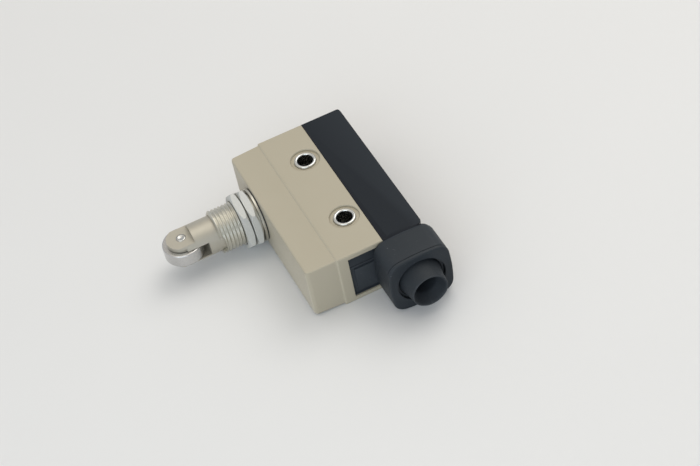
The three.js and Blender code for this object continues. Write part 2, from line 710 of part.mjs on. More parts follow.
function snapBlade() {
  const outline = plate([pivotX - 0.2, contactX + 1.1], [midZ - 1.9, midZ + 1.9], [0.3, 0.8, 0.8, 0.3]);
  const blade = prism('y', outline, [bladeTop, bladeTop + bladeThickness]);
  const window = plate([buttonX + 2.2, contactX - 2], [midZ - 0.8, midZ + 0.8], [0.4, 0.4, 0.4, 0.4]);
  return blade.subtract(prism('y', window, [bladeTop - 1, bladeTop + 1]))
    .subtract(rod('y', contactDiameter / 2 + 4 * slip, [bladeTop - 1, bladeTop + 1], [contactX, midZ], 16));
}

function movingContact() {
  const head = 0.4;
  const [top, bottom] = [bladeTop - 0.02, bladeTop + bladeThickness + 0.02];
  return turned('y', [[0, top - head], [contactDiameter - 0.6, top - head], [contactDiameter, top - 0.1],
    [contactDiameter, top], [contactDiameter / 2, top], [contactDiameter / 2, bottom], [contactDiameter, bottom],
    [contactDiameter, bottom + 0.1], [contactDiameter - 0.6, bottom + head], [0, bottom + head]],
  [contactX, midZ], 16);
}

const closedFace = bladeTop - 0.42 - seatGap; // y of the normally closed contact's face
const openFace = bladeTop + bladeThickness + 0.42 + contactGap + seatGap;
const contactHeight = 0.4;
const tabFront = blockRear + seatGap;
const tabs = [tabFront, tabFront + terminalThickness];
const screwHole = screwDiameter + 4 * slip;

// A terminal: a strip up from the switch, then a tab on the block with a hole for its screw.
function terminal(stripX, stripTop, tabX) {
  const upright = box([stripX - stripThickness / 2, stripX + stripThickness / 2], [stripTop, tabs[1]], stripZ);
  const reach = sorted(stripX, tabX + Math.sign(tabX) * screwHead / 2);
  const half = screwHead / 2;
  const span = tabX === 0 ? [-half, Math.max(half, stripX + stripThickness / 2)] : reach;
  const tab = box(span, tabs, stripZ).add(rod('y', screwHead, tabs, [tabX, midZ]));
  return upright.add(tab).subtract(rod('y', screwHole, [tabs[0] - 1, tabs[1] + 1], [tabX, midZ], 16));
}

function commonTerminal() {
  return terminal(strips.common, bladeTop + bladeThickness + seatGap, -terminalPitch);
}

function openTerminal() {
  const arm = [openFace + contactHeight, openFace + contactHeight + stripThickness];
  const shelf = box([strips.open - stripThickness / 2, contactX + 0.8], arm, [midZ - 1.2, midZ + 1.2]);
  return terminal(strips.open, arm[0], 0).add(shelf);
}

function closedTerminal() {
  const arm = [closedFace - contactHeight - stripThickness, closedFace - contactHeight];
  const shelf = box([contactX - 0.8, strips.closed + stripThickness / 2], arm, [midZ - 1.2, midZ + 1.2]);
  return terminal(strips.closed, arm[0], terminalPitch).add(shelf);
}

function fixedContact(face, side) {
  const span = sorted(face, face + side * (contactHeight - 0.01));
  return rod('y', contactDiameter - 0.2, span, [contactX, midZ], 16);
}

function terminalBlock() {
  const [length, width] = [blockLength / 2, blockWidth / 2];
  const plateOutline = plate([-length, length], [midZ - width, midZ + width], [1.5, 1.5, 1.5, 1.5]);
  const neck = box([-switchEnd, switchEnd], [switchBottom + seatGap, blockFront + 1],
    [midZ - switchWidth / 2, midZ + switchWidth / 2]);
  let block = prism('y', plateOutline, [blockFront, blockRear]).add(neck);
  block = stripSlots([switchBottom - 1, blockRear + 1]).reduce((left, slot) => left.subtract(slot), block);
  for (const x of [-terminalPitch, 0, terminalPitch]) {
    block = block.subtract(rod('y', screwDiameter + 2 * slip, [blockFront + pocketGap, blockRear + 1],
      [x, midZ], 16));
  }
  return block;
}

// ---------------------------------------------------------------------------
// The pieces

piece('case', caseBody(), casting);
['far', 'near'].forEach((name, i) => piece(`mounting_bush_${name}`, bush(holes[i]), nickel));
piece('end_panel', endPanel(), blackPlastic);
piece('terminal_cover', terminalCover(), blackPlastic);
piece('cover_gasket', gasketRing([coverJoint + 0.02, coverJoint + gasketGroove.depth - 0.02], slip), rubber);
const coverScrewSeat = coverBack - coverScrewHeadHeight;
const coverScrew = { thread: coverScrewThread, length: coverScrewSeat - coverScrewEnd - seatGap,
  head: coverScrewHead, headHeight: coverScrewHeadHeight - 0.2, slot: 0.8 };
[-1, 1].forEach((side, i) => piece(`cover_screw_${['far', 'near'][i]}`,
  screw('y', [side * coverScrewX, midZ], coverScrewSeat, coverScrew), zinc));

piece('conduit_cap', conduitCap(), bossPlastic);
piece('cable_gland', cableGland(), rubber);
piece('gland_washer', tube('x', glandFlange - 0.2, glandBase + 0.4,
  [glandSeat + seatGap, bossEnd + capJoint - seatGap], outletAt, 40), bossPlastic);

piece('sleeve', sleeve(), nickel);
piece('sleeve_gasket', tube('y', collarDiameter - 0.4, threadDiameter + 2 * slip,
  [gasketFront + 0.02, noseFront - 0.02], actuatorAt, 40), rubber);
piece('sleeve_ring', tube('y', ringDiameter, threadDiameter - 2 * ringGroove + 2 * slip, [ringFront, ringRear],
  actuatorAt), springSteel);
piece('guide_pin', guidePin(), steel);
const innerNutRear = collarFront - nutSetBack;
piece('lock_nut_inner', nut(innerNutRear, innerNutTurn), zinc);
piece('lock_nut_outer', nut(innerNutRear - nutThickness - nutGap, outerNutTurn), zinc);

piece('plunger', plunger(), nickel);
piece('plunger_seal', tube('y', plungerDiameter + slip, plungerDiameter - 2 * sealDiameter + 6 * slip,
  [sealY - sealDiameter / 2, sealY + sealDiameter / 2], actuatorAt, 40), rubber);
piece('roller', roller(), steel);
piece('roller_pin', rollerPin(), steel);
piece('rod_stop', tube('y', springBore - 2 * slip, rodDiameter + 0.6,
  [wideFloor + seatGap, wideFloor + seatGap + stopThickness], actuatorAt), springSteel);
piece('push_rod', pushRod(), steel);
piece('push_foot', pushFoot(), springSteel);
piece('spring_seat', tube('y', threadDiameter - 0.2, rodDiameter + 2 * slip,
  [tailY + seatGap, tailY + seatGap + seatThickness], actuatorAt), springSteel);
const stopRear = wideFloor + seatGap + stopThickness;
piece('return_spring', coil(springBore - 0.8, 0.6, [stopRear + seatGap, tailY], 5), springSteel);
piece('overtravel_spring', coil(narrowBore - 0.6, 0.35, [narrowFloor + seatGap, rodFront - seatGap], 4),
  springSteel);

piece('switch_cover', switchCover(), white);
piece('switch_base', switchBase(), phenolic);
piece('push_button', pushButton(), white);
piece('snap_blade', snapBlade(), brass);
piece('moving_contact', movingContact(), silver);
piece('terminal_common', commonTerminal(), brass);
piece('terminal_normally_open', openTerminal(), brass);
piece('terminal_normally_closed', closedTerminal(), brass);
piece('contact_normally_open', fixedContact(openFace, 1), silver);
piece('contact_normally_closed', fixedContact(closedFace, -1), silver);
piece('terminal_block', terminalBlock(), phenolic);
const terminalScrew = { thread: screwDiameter, length: blockThickness, head: screwHead, headHeight: 1.9,
  slot: 0.8 };
[-1, 0, 1].forEach((place) => piece(`terminal_screw_${place + 2}`,
  screw('y', [place * terminalPitch, midZ], tabs[1] + seatGap, terminalScrew), zinc));

export default limitSwitch;
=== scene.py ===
"""Looks of an enclosed limit switch with a roller plunger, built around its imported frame.

The switch lies on its back face. +Z points out of its front face, +X towards the cable
outlet, and the plunger comes out along -Y. Sizes in the classes are in millimetres.
"""

import json
import logging
import math
from collections.abc import Callable, Iterable
from dataclasses import dataclass, field
from enum import Enum
from itertools import pairwise

import bmesh
import bpy
from mathutils import Matrix, Vector


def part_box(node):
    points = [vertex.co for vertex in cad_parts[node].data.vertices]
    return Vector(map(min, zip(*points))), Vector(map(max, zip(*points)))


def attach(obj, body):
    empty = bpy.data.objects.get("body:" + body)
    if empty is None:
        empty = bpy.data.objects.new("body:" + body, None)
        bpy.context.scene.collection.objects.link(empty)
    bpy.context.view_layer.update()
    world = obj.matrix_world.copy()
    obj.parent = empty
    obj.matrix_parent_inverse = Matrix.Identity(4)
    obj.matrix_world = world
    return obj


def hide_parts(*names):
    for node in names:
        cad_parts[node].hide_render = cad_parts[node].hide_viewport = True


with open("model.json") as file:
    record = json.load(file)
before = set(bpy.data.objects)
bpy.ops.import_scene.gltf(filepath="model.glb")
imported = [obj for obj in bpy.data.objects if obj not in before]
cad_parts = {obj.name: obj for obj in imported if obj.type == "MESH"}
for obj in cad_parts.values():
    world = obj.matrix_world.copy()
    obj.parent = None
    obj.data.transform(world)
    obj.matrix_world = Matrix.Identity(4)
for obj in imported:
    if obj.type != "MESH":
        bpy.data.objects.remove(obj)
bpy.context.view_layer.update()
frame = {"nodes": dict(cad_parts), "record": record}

LOG = logging.getLogger("limit_switch")
Profile = list[tuple[float, float]]

MM = 0.001
GAP = 0.05  # between pieces that fit each other, in millimetres
PAST = 1.0  # how far a cutting tool reaches past what it cuts
SHOULDER_DEPTH = 8.3  # from the sleeve's mouth to the shoulder in its bore

BUSHES = ("mounting_bush_far", "mounting_bush_near")
COVER_SCREWS = ("cover_screw_far", "cover_screw_near")

# The sockets of a Mix node that mixes colours.
SHARE, FIRST, SECOND, RESULT = 0, 6, 7, 2


class Axis(Enum):
    """The row axis that a turned piece is turned about, with the two axes across it."""

    X = (Vector((0, 1, 0)), Vector((0, 0, 1)), Vector((1, 0, 0)))
    Y = (Vector((0, 0, 1)), Vector((1, 0, 0)), Vector((0, 1, 0)))
    Z = (Vector((1, 0, 0)), Vector((0, 1, 0)), Vector((0, 0, 1)))


class Join(Enum):
    """What a boolean does with its tool."""

    TAKE_AWAY = "DIFFERENCE"
    ADD = "UNION"
    KEEP_INSIDE = "INTERSECT"


# ---------------------------------------------------------------------------
# Places, read from the frame


@dataclass(frozen=True)
class Span:
    """The box of a CAD node at rest, in millimetres."""

    low: Vector
    high: Vector

    @property
    def centre(self) -> Vector:
        """The middle of the box."""
        return (self.low + self.high) / 2

    @property
    def size(self) -> Vector:
        """The box's three sides."""
        return self.high - self.low


def span(node: str) -> Span:
    """Reads where a CAD node is.

    Args:
        node: The node's name.

    Returns:
        Its box, in millimetres.
    """
    low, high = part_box(node)
    return Span(Vector(low) / MM, Vector(high) / MM)


# ---------------------------------------------------------------------------
# Work on meshes


def clear_selection() -> None:
    """Deselects every object, as an operator acts on all that is selected."""
    for thing in list(bpy.context.selected_objects):
        thing.select_set(False)


def pick(thing: bpy.types.Object) -> None:
    """Makes one object the only selected and the active one."""
    clear_selection()
    thing.select_set(True)
    bpy.context.view_layer.objects.active = thing


def edit(thing: bpy.types.Object) -> None:
    """Picks an object and opens its mesh in edit mode."""
    pick(thing)
    bpy.ops.object.mode_set(mode="EDIT")


def push(*step: float) -> None:
    """Extrudes what is selected by a step along X, Y and Z, in millimetres."""
    bpy.ops.mesh.extrude_region_move(TRANSFORM_OT_translate={"value": Vector(step) * MM})


def piece_name(node: str) -> str:
    """Names a new piece after its CAD node, such as CoverScrewFar."""
    return node.title().replace("_", "")


def settle(thing: bpy.types.Object) -> None:
    """Moves an object's place, turn and scale into its mesh."""
    pick(thing)
    bpy.ops.object.transform_apply(location=True, rotation=True, scale=True)


def block(name: str, low: Iterable[float], high: Iterable[float]) -> bpy.types.Object:
    """Adds a box.

    Args:
        name: The new object's name.
        low: Its lowest corner, in millimetres.
        high: Its highest corner, in millimetres.

    Returns:
        The new object, at the origin, with its place in its mesh.
    """
    clear_selection()
    low, high = Vector(low) * MM, Vector(high) * MM
    bpy.ops.mesh.primitive_cube_add(size=1, location=(low + high) / 2, scale=high - low)
    thing = bpy.context.object
    thing.name = name
    settle(thing)
    return thing


def stretch(stations: Profile, radius: float, along: float) -> None:
    """Extrudes what is selected through stations along Z, and ends on the last one.

    Args:
        stations: Radius and place of each station, in millimetres.
        radius: The radius of what is selected.
        along: Its place.
    """
    for next_radius, next_along in stations:
        push(0, 0, next_along - along)
        ratio = next_radius / radius
        bpy.ops.transform.resize(value=(ratio, ratio, 1), center_override=(0, 0, next_along * MM))
        radius, along = next_radius, next_along


def close_up(merge: float = 1e-7) -> None:
    """Merges what meets, turns the faces outwards and leaves edit mode."""
    bpy.ops.mesh.select_all(action="SELECT")
    bpy.ops.mesh.remove_doubles(threshold=merge)
    bpy.ops.mesh.normals_make_consistent(inside=False)
    bpy.ops.object.mode_set(mode="OBJECT")


def turned(name: str, axis: Axis, centre: Vector, profile: Profile, sides: int = 96,
           ring: bool = False) -> bpy.types.Object:
    """Turns a piece from stations of radius and place along its axis.

    Args:
        name: The new object's name.
        axis: The axis that it is turned about.
        centre: A point on that axis, in millimetres. Its share along the axis isn't used.
        profile: Radius and place along the axis of each corner, in millimetres.
        sides: How many sides the circle has.
        ring: Whether the profile closes on itself, as a tube's does.

    Returns:
        The new object, closed, at the origin.
    """
    clear_selection()
    radius, along = profile[0]
    bpy.ops.mesh.primitive_circle_add(vertices=sides, radius=radius * MM, location=(0, 0, along * MM),
                                      fill_type="NOTHING" if ring else "NGON")
    thing = bpy.context.object
    thing.name = name
    settle(thing)
    bpy.ops.object.mode_set(mode="EDIT")
    bpy.ops.mesh.select_mode(type="EDGE")
    bpy.ops.mesh.select_all(action="SELECT")
    stretch(profile[1:] + (profile[:1] if ring else []), radius, along)
    close_up()
    across, up, out = axis.value
    place = Matrix((across, up, out)).transposed().to_4x4()
    place.translation = (centre - out * centre.dot(out)) * MM
    thing.matrix_world = place
    settle(thing)
    return thing


def boolean(thing: bpy.types.Object, tool: bpy.types.Object, join: Join = Join.TAKE_AWAY) -> None:
    """Joins a tool to a piece or takes it away, and removes the tool.

    Args:
        thing: The piece.
        tool: The other object.
        join: What is done.
    """
    pick(thing)
    bpy.ops.object.modifier_add(type="BOOLEAN")
    modifier = thing.modifiers[-1]
    modifier.operation = join.value
    modifier.solver = "EXACT"
    modifier.object = tool
    bpy.ops.object.modifier_apply(modifier=modifier.name)
    bpy.data.objects.remove(tool)


def select_edges(thing: bpy.types.Object, wanted: Callable[[Vector, Vector], bool]) -> None:
    """Selects edges of the mesh in edit mode by where their ends are.

    Args:
        thing: The object in edit mode.
        wanted: Given an edge's two ends in millimetres, says whether to select it.
    """
    bpy.ops.mesh.select_mode(type="EDGE")
    bpy.ops.mesh.select_all(action="DESELECT")
    mesh = bmesh.from_edit_mesh(thing.data)
    for edge in mesh.edges:
        edge.select_set(wanted(edge.verts[0].co / MM, edge.verts[1].co / MM))
    bmesh.update_edit_mesh(thing.data)


def select_faces(thing: bpy.types.Object, wanted: Callable[[Vector, Vector], bool]) -> None:
    """Selects faces of the mesh in edit mode by their middle and normal.

    Args:
        thing: The object in edit mode.
        wanted: Given a face's middle in millimetres and its normal, says whether to select it.
    """
    bpy.ops.mesh.select_mode(type="FACE")
    bpy.ops.mesh.select_all(action="DESELECT")
    mesh = bmesh.from_edit_mesh(thing.data)
    for face in mesh.faces:
        face.select_set(wanted(face.calc_center_median() / MM, face.normal))
    bmesh.update_edit_mesh(thing.data)


def round_edges(thing: bpy.types.Object, radius: float, segments: int = 3, over: float = 30,
                by_weight: bool = False) -> None:
    """Rounds a piece's sharp edges.

    Args:
        thing: The piece.
        radius: In millimetres. By weight, it is the radius of an edge of weight 1.
        segments: How many faces go round an edge.
        over: The angle, in degrees, past which an edge is rounded.
        by_weight: Whether each edge's own weight says how far it is rounded.
    """
    pick(thing)
    bpy.ops.object.modifier_add(type="BEVEL")
    modifier = thing.modifiers[-1]
    modifier.width = radius * MM
    modifier.segments = segments
    modifier.limit_method = "WEIGHT" if by_weight else "ANGLE"
    modifier.angle_limit = math.radians(over)
    modifier.use_clamp_overlap = not by_weight
    bpy.ops.object.modifier_apply(modifier=modifier.name)


def weigh(thing: bpy.types.Object, share: float, wanted: Callable[[Vector, Vector], bool]) -> None:
    """Gives edges their share of the rounding.

    Args:
        thing: The object in edit mode.
        share: The edges' bevel weight, from 0 to 1.
        wanted: Says which edges, as select_edges takes it.
    """
    select_edges(thing, wanted)
    bpy.ops.transform.edge_bevelweight(value=share)


def smooth(thing: bpy.types.Object, angle: float = 35) -> None:
    """Shades a piece smooth, keeps its creases, and keeps its flat faces flat.

    Args:
        thing: The piece.
        angle: The angle, in degrees, past which an edge is a crease.
    """
    pick(thing)
    bpy.ops.object.shade_smooth_by_angle(angle=math.radians(angle))
    bpy.ops.object.modifier_add(type="WEIGHTED_NORMAL")
    modifier = thing.modifiers[-1]
    modifier.keep_sharp = True
    bpy.ops.object.modifier_apply(modifier=modifier.name)


# ---------------------------------------------------------------------------
# Finishes


def linear(colour: str) -> tuple[float, float, float, float]:
    """Turns an sRGB hex colour into the linear one that a shader takes.

    Args:
        colour: Such as "#b3aa96".

    Returns:
        Red, green, blue and an alpha of 1.
    """
    shares = [int(colour[i:i + 2], 16) / 255 for i in (1, 3, 5)]
    return (*(s / 12.92 if s <= 0.04045 else ((s + 0.055) / 1.055) ** 2.4 for s in shares), 1.0)


def add_node(tree: bpy.types.NodeTree, kind: str, inputs: dict | None = None, **settings) -> bpy.types.Node:
    """Adds a node with its settings and links.

    Args:
        tree: The node tree.
        kind: The node's type.
        inputs: A value or another node's output for each input, by name or number.
        **settings: The node's own settings.

    Returns:
        The new node.
    """
    node = tree.nodes.new(kind)
    for name, value in settings.items():
        setattr(node, name, value)
    for socket, value in (inputs or {}).items():
        if isinstance(value, bpy.types.NodeSocket):
            tree.links.new(value, node.inputs[socket])
        else:
            node.inputs[socket].default_value = value
    return node


@dataclass(frozen=True)
class TurningMarks:
    """Rings that a lathe or a thread roller leaves around a piece's axis."""

    axis: Axis
    centre: Vector
    pitch: float
    depth: float


@dataclass(frozen=True)
class Finish:
    """A surface: what it is made of, and what its making left on it. Sizes in millimetres."""

    name: str
    colour: str
    mottle: str
    roughness: float
    grain: float
    grain_depth: float
    metallic: float = 0.0
    ior: float = 1.5
    sheen: float = 0.5
    mottle_size: float = 3.0
    roughness_spread: float = 0.08
    # A lighter colour that paints a highlight on sharp edges.
    painted_edge_highlight: str = ""
    speck: str = ""
    marks: TurningMarks | None = None

    def material(self) -> bpy.types.Material:
        """Makes the material, or finds it if it is made already.

        Returns:
            The material.
        """
        if self.name in bpy.data.materials:
            return bpy.data.materials[self.name]
        made = bpy.data.materials.new(self.name)
        made.use_nodes = True
        tree = made.node_tree
        shader = tree.nodes["Principled BSDF"]
        shader.inputs["Metallic"].default_value = self.metallic
        if not self.metallic:
            shader.inputs["IOR"].default_value = self.ior
            shader.inputs["Specular IOR Level"].default_value = self.sheen
        place = add_node(tree, "ShaderNodeTexCoord").outputs["Object"]
        self._colour(tree, shader, place)
        self._surface(tree, shader, place)
        return made

    def _colour(self, tree: bpy.types.NodeTree, shader: bpy.types.Node, place: bpy.types.NodeSocket) -> None:
        """Mixes the two colours in soft patches, paints a highlight on sharp edges by lightening them, and adds
        specks.
        """
        patches = add_node(tree, "ShaderNodeTexNoise", {
            "Vector": place, "Scale": 1 / (self.mottle_size * MM), "Detail": 4.0, "Roughness": 0.6})
        mixed = add_node(tree, "ShaderNodeMix", {
            SHARE: patches.outputs["Fac"], FIRST: linear(self.colour), SECOND: linear(self.mottle)},
            data_type="RGBA").outputs[RESULT]
        # Painted highlight: sharp convex edges are lightened towards this colour.
        if self.painted_edge_highlight:
            slightly_bent, sharp, most = 0.52, 0.62, 0.5
            edge = add_node(tree, "ShaderNodeMapRange", {
                "Value": add_node(tree, "ShaderNodeNewGeometry").outputs["Pointiness"],
                "From Min": slightly_bent, "From Max": sharp, "To Max": most})
            mixed = add_node(tree, "ShaderNodeMix", {
                SHARE: edge.outputs["Result"], FIRST: mixed, SECOND: linear(self.painted_edge_highlight)},
                data_type="RGBA").outputs[RESULT]
        if self.speck:
            size, rare, rarest, most = 0.7, 0.7, 0.74, 0.7
            dust = add_node(tree, "ShaderNodeTexNoise", {
                "Vector": place, "Scale": 1 / (size * MM), "Detail": 3.0, "Roughness": 0.75})
            dot = add_node(tree, "ShaderNodeMapRange", {
                "Value": dust.outputs["Fac"], "From Min": rare, "From Max": rarest, "To Max": most})
            mixed = add_node(tree, "ShaderNodeMix", {
                SHARE: dot.outputs["Result"], FIRST: mixed, SECOND: linear(self.speck)},
                data_type="RGBA").outputs[RESULT]
        tree.links.new(mixed, shader.inputs["Base Color"])

    def _surface(self, tree: bpy.types.NodeTree, shader: bpy.types.Node, place: bpy.types.NodeSocket) -> None:
        """Gives the grain and the turning marks their height, and the gloss its unevenness."""
        grain = add_node(tree, "ShaderNodeTexNoise", {
            "Vector": place, "Scale": 1 / (self.grain * MM), "Detail": 3.0, "Roughness": 0.55})
        gloss = add_node(tree, "ShaderNodeMapRange", {
            "Value": grain.outputs["Fac"], "From Min": 0.3, "From Max": 0.7,
            "To Min": self.roughness - self.roughness_spread,
            "To Max": self.roughness + self.roughness_spread})
        tree.links.new(gloss.outputs["Result"], shader.inputs["Roughness"])
        bump = add_node(tree, "ShaderNodeBump", {
            "Height": grain.outputs["Fac"], "Distance": self.grain_depth * MM, "Strength": 1.0})
        if self.marks:
            rings_at_scale_one = 20 / (2 * math.pi)
            centred = add_node(tree, "ShaderNodeMapping", {
                "Vector": place, "Location": -self.marks.centre * MM}, vector_type="POINT")
            rings = add_node(tree, "ShaderNodeTexWave", {
                "Vector": centred.outputs["Vector"], "Scale": 1 / (self.marks.pitch * MM * rings_at_scale_one),
                "Distortion": 0.4, "Detail": 2.0, "Detail Scale": 1.5},
                wave_type="RINGS", rings_direction=self.marks.axis.name)
            bump = add_node(tree, "ShaderNodeBump", {
                "Height": rings.outputs["Fac"], "Distance": self.marks.depth * MM, "Strength": 1.0,
                "Normal": bump.outputs["Normal"]})
        tree.links.new(bump.outputs["Normal"], shader.inputs["Normal"])


# Cream enamel baked on a die casting: an even, faintly warm satin with a fine orange peel, and a painted
# highlight along its sharp edges.
ENAMEL = Finish(
    "Cream_enamel_sprayed_on_die_casting", "#aea693", "#aba38f", 0.42, grain=0.35, grain_depth=0.004,
    mottle_size=6, painted_edge_highlight="#c4bdab")
# Moulded black thermoplastic: a cool near-black with a spark-eroded texture, and a painted highlight along its
# sharp edges.
BLACK_PLASTIC = Finish(
    "Black_thermoplastic_moulded", "#12171e", "#151a21", 0.45, grain=0.2, grain_depth=0.005, sheen=0.15,
    mottle_size=2, painted_edge_highlight="#353b41")
# The same plastic, lighter and with a coarser mould texture: the lighter colour is partly painted light on the
# outlet and end panel. It has a little dust on it and a painted edge highlight.
OUTLET_PLASTIC = Finish(
    "Black_thermoplastic_painted_lighter", "#282d32", "#2b3035", 0.5, grain=0.22, grain_depth=0.008, sheen=0.2,
    mottle_size=2, painted_edge_highlight="#464b50", speck="#8d9296")
# Nitrile rubber from a mould: dull, dark and slightly blue, with a painted highlight along its sharp edges.
RUBBER = Finish(
    "Nitrile_rubber_moulded", "#282d32", "#2d3237", 0.62, grain=0.3, grain_depth=0.006, mottle_size=2.5,
    sheen=0.3, roughness_spread=0.1, painted_edge_highlight="#3c4146")
# Nickel plate over turned brass: pale, slightly warm and dull. Its thin film scatters a part
# of the light as paint does, so it isn't wholly metallic.
NICKEL = Finish(
    "Nickel_plate_on_turned_brass", "#bdb8ab", "#b5b0a3", 0.5, grain=0.12, grain_depth=0.001, metallic=0.75,
    mottle_size=1.5)
# The same plate over a rolled thread, in a lighter colour than the plunger's: painted light that brightens the
# sleeve. Its flanks keep their metallic glints.
THREAD_NICKEL = Finish(
    "Nickel_plate_on_rolled_thread", "#cfccc1", "#c4c1b6", 0.42, grain=0.12, grain_depth=0.002, metallic=1.0,
    mottle_size=1.0)
# Nickel plate over a rolled rim: bright, with soft reflections.
BRIGHT_NICKEL = Finish(
    "Nickel_plate_polished", "#dcdcd8", "#d2d2ce", 0.2, grain=0.2, grain_depth=0.001, metallic=1.0,
    roughness_spread=0.05)
# Passivated zinc plate on stamped steel: dull grey with a visible grain, more film than metal.
ZINC = Finish(
    "Zinc_plate_on_stamped_steel", "#d6d6d2", "#bcbdb9", 0.7, grain=0.16, grain_depth=0.012, metallic=0.45,
    mottle_size=0.35)
# Drawn wire and stamped spring steel: dark grey, half bright.
SPRING_STEEL = Finish(
    "Spring_steel_drawn", "#8f8f8d", "#868684", 0.32, grain=0.1, grain_depth=0.002, metallic=1.0)
# Ground steel: bright and plain.
PIN_STEEL = Finish("Steel_pin_ground", "#d0d0cd", "#c4c4c1", 0.22, grain=0.1, grain_depth=0.002, metallic=1.0)
# Phenolic resin with its wood-flour filler: brown with a fine fleck.
PHENOLIC = Finish(
    "Phenolic_resin_moulded", "#54351f", "#47290f", 0.5, grain=0.25, grain_depth=0.004, mottle_size=0.6)
# Urea resin: off-white with a soft gloss.
PALE_PLASTIC = Finish("Urea_resin_moulded", "#d6d1c2", "#cfc9b9", 0.45, grain=0.3, grain_depth=0.003)
# Stamped brass strip: yellow, lightly tarnished.
BRASS = Finish("Brass_stamped", "#c2a35a", "#b7964b", 0.3, grain=0.1, grain_depth=0.002, metallic=1.0)
# Pressed silver: white and bright.
SILVER = Finish(
    "Silver_contact_pressed", "#dededb", "#cfcfcc", 0.22, grain=0.1, grain_depth=0.002, metallic=1.0)


def dress(thing: bpy.types.Object, finish: Finish) -> None:
    """Gives a piece its one finish."""
    thing.data.materials.clear()
    thing.data.materials.append(finish.material())


def hand_over(thing: bpy.types.Object, node: str, finish: Finish, crease: float = 35) -> bpy.types.Object:
    """Finishes a new piece and puts it in place of its CAD node.

    Args:
        thing: The new piece.
        node: The CAD node that it stands for.
        finish: Its finish.
        crease: The angle, in degrees, past which its edges stay sharp.

    Returns:
        The piece.
    """
    smooth(thing, crease)
    dress(thing, finish)
    body = next(name for name, nodes in frame["record"]["behaviour"]["bodies"].items() if node in nodes)
    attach(thing, body)
    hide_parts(node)
    LOG.info("%s: %d faces, rides on %s", thing.name, len(thing.data.polygons), body)
    return thing


# ---------------------------------------------------------------------------
# Enclosure


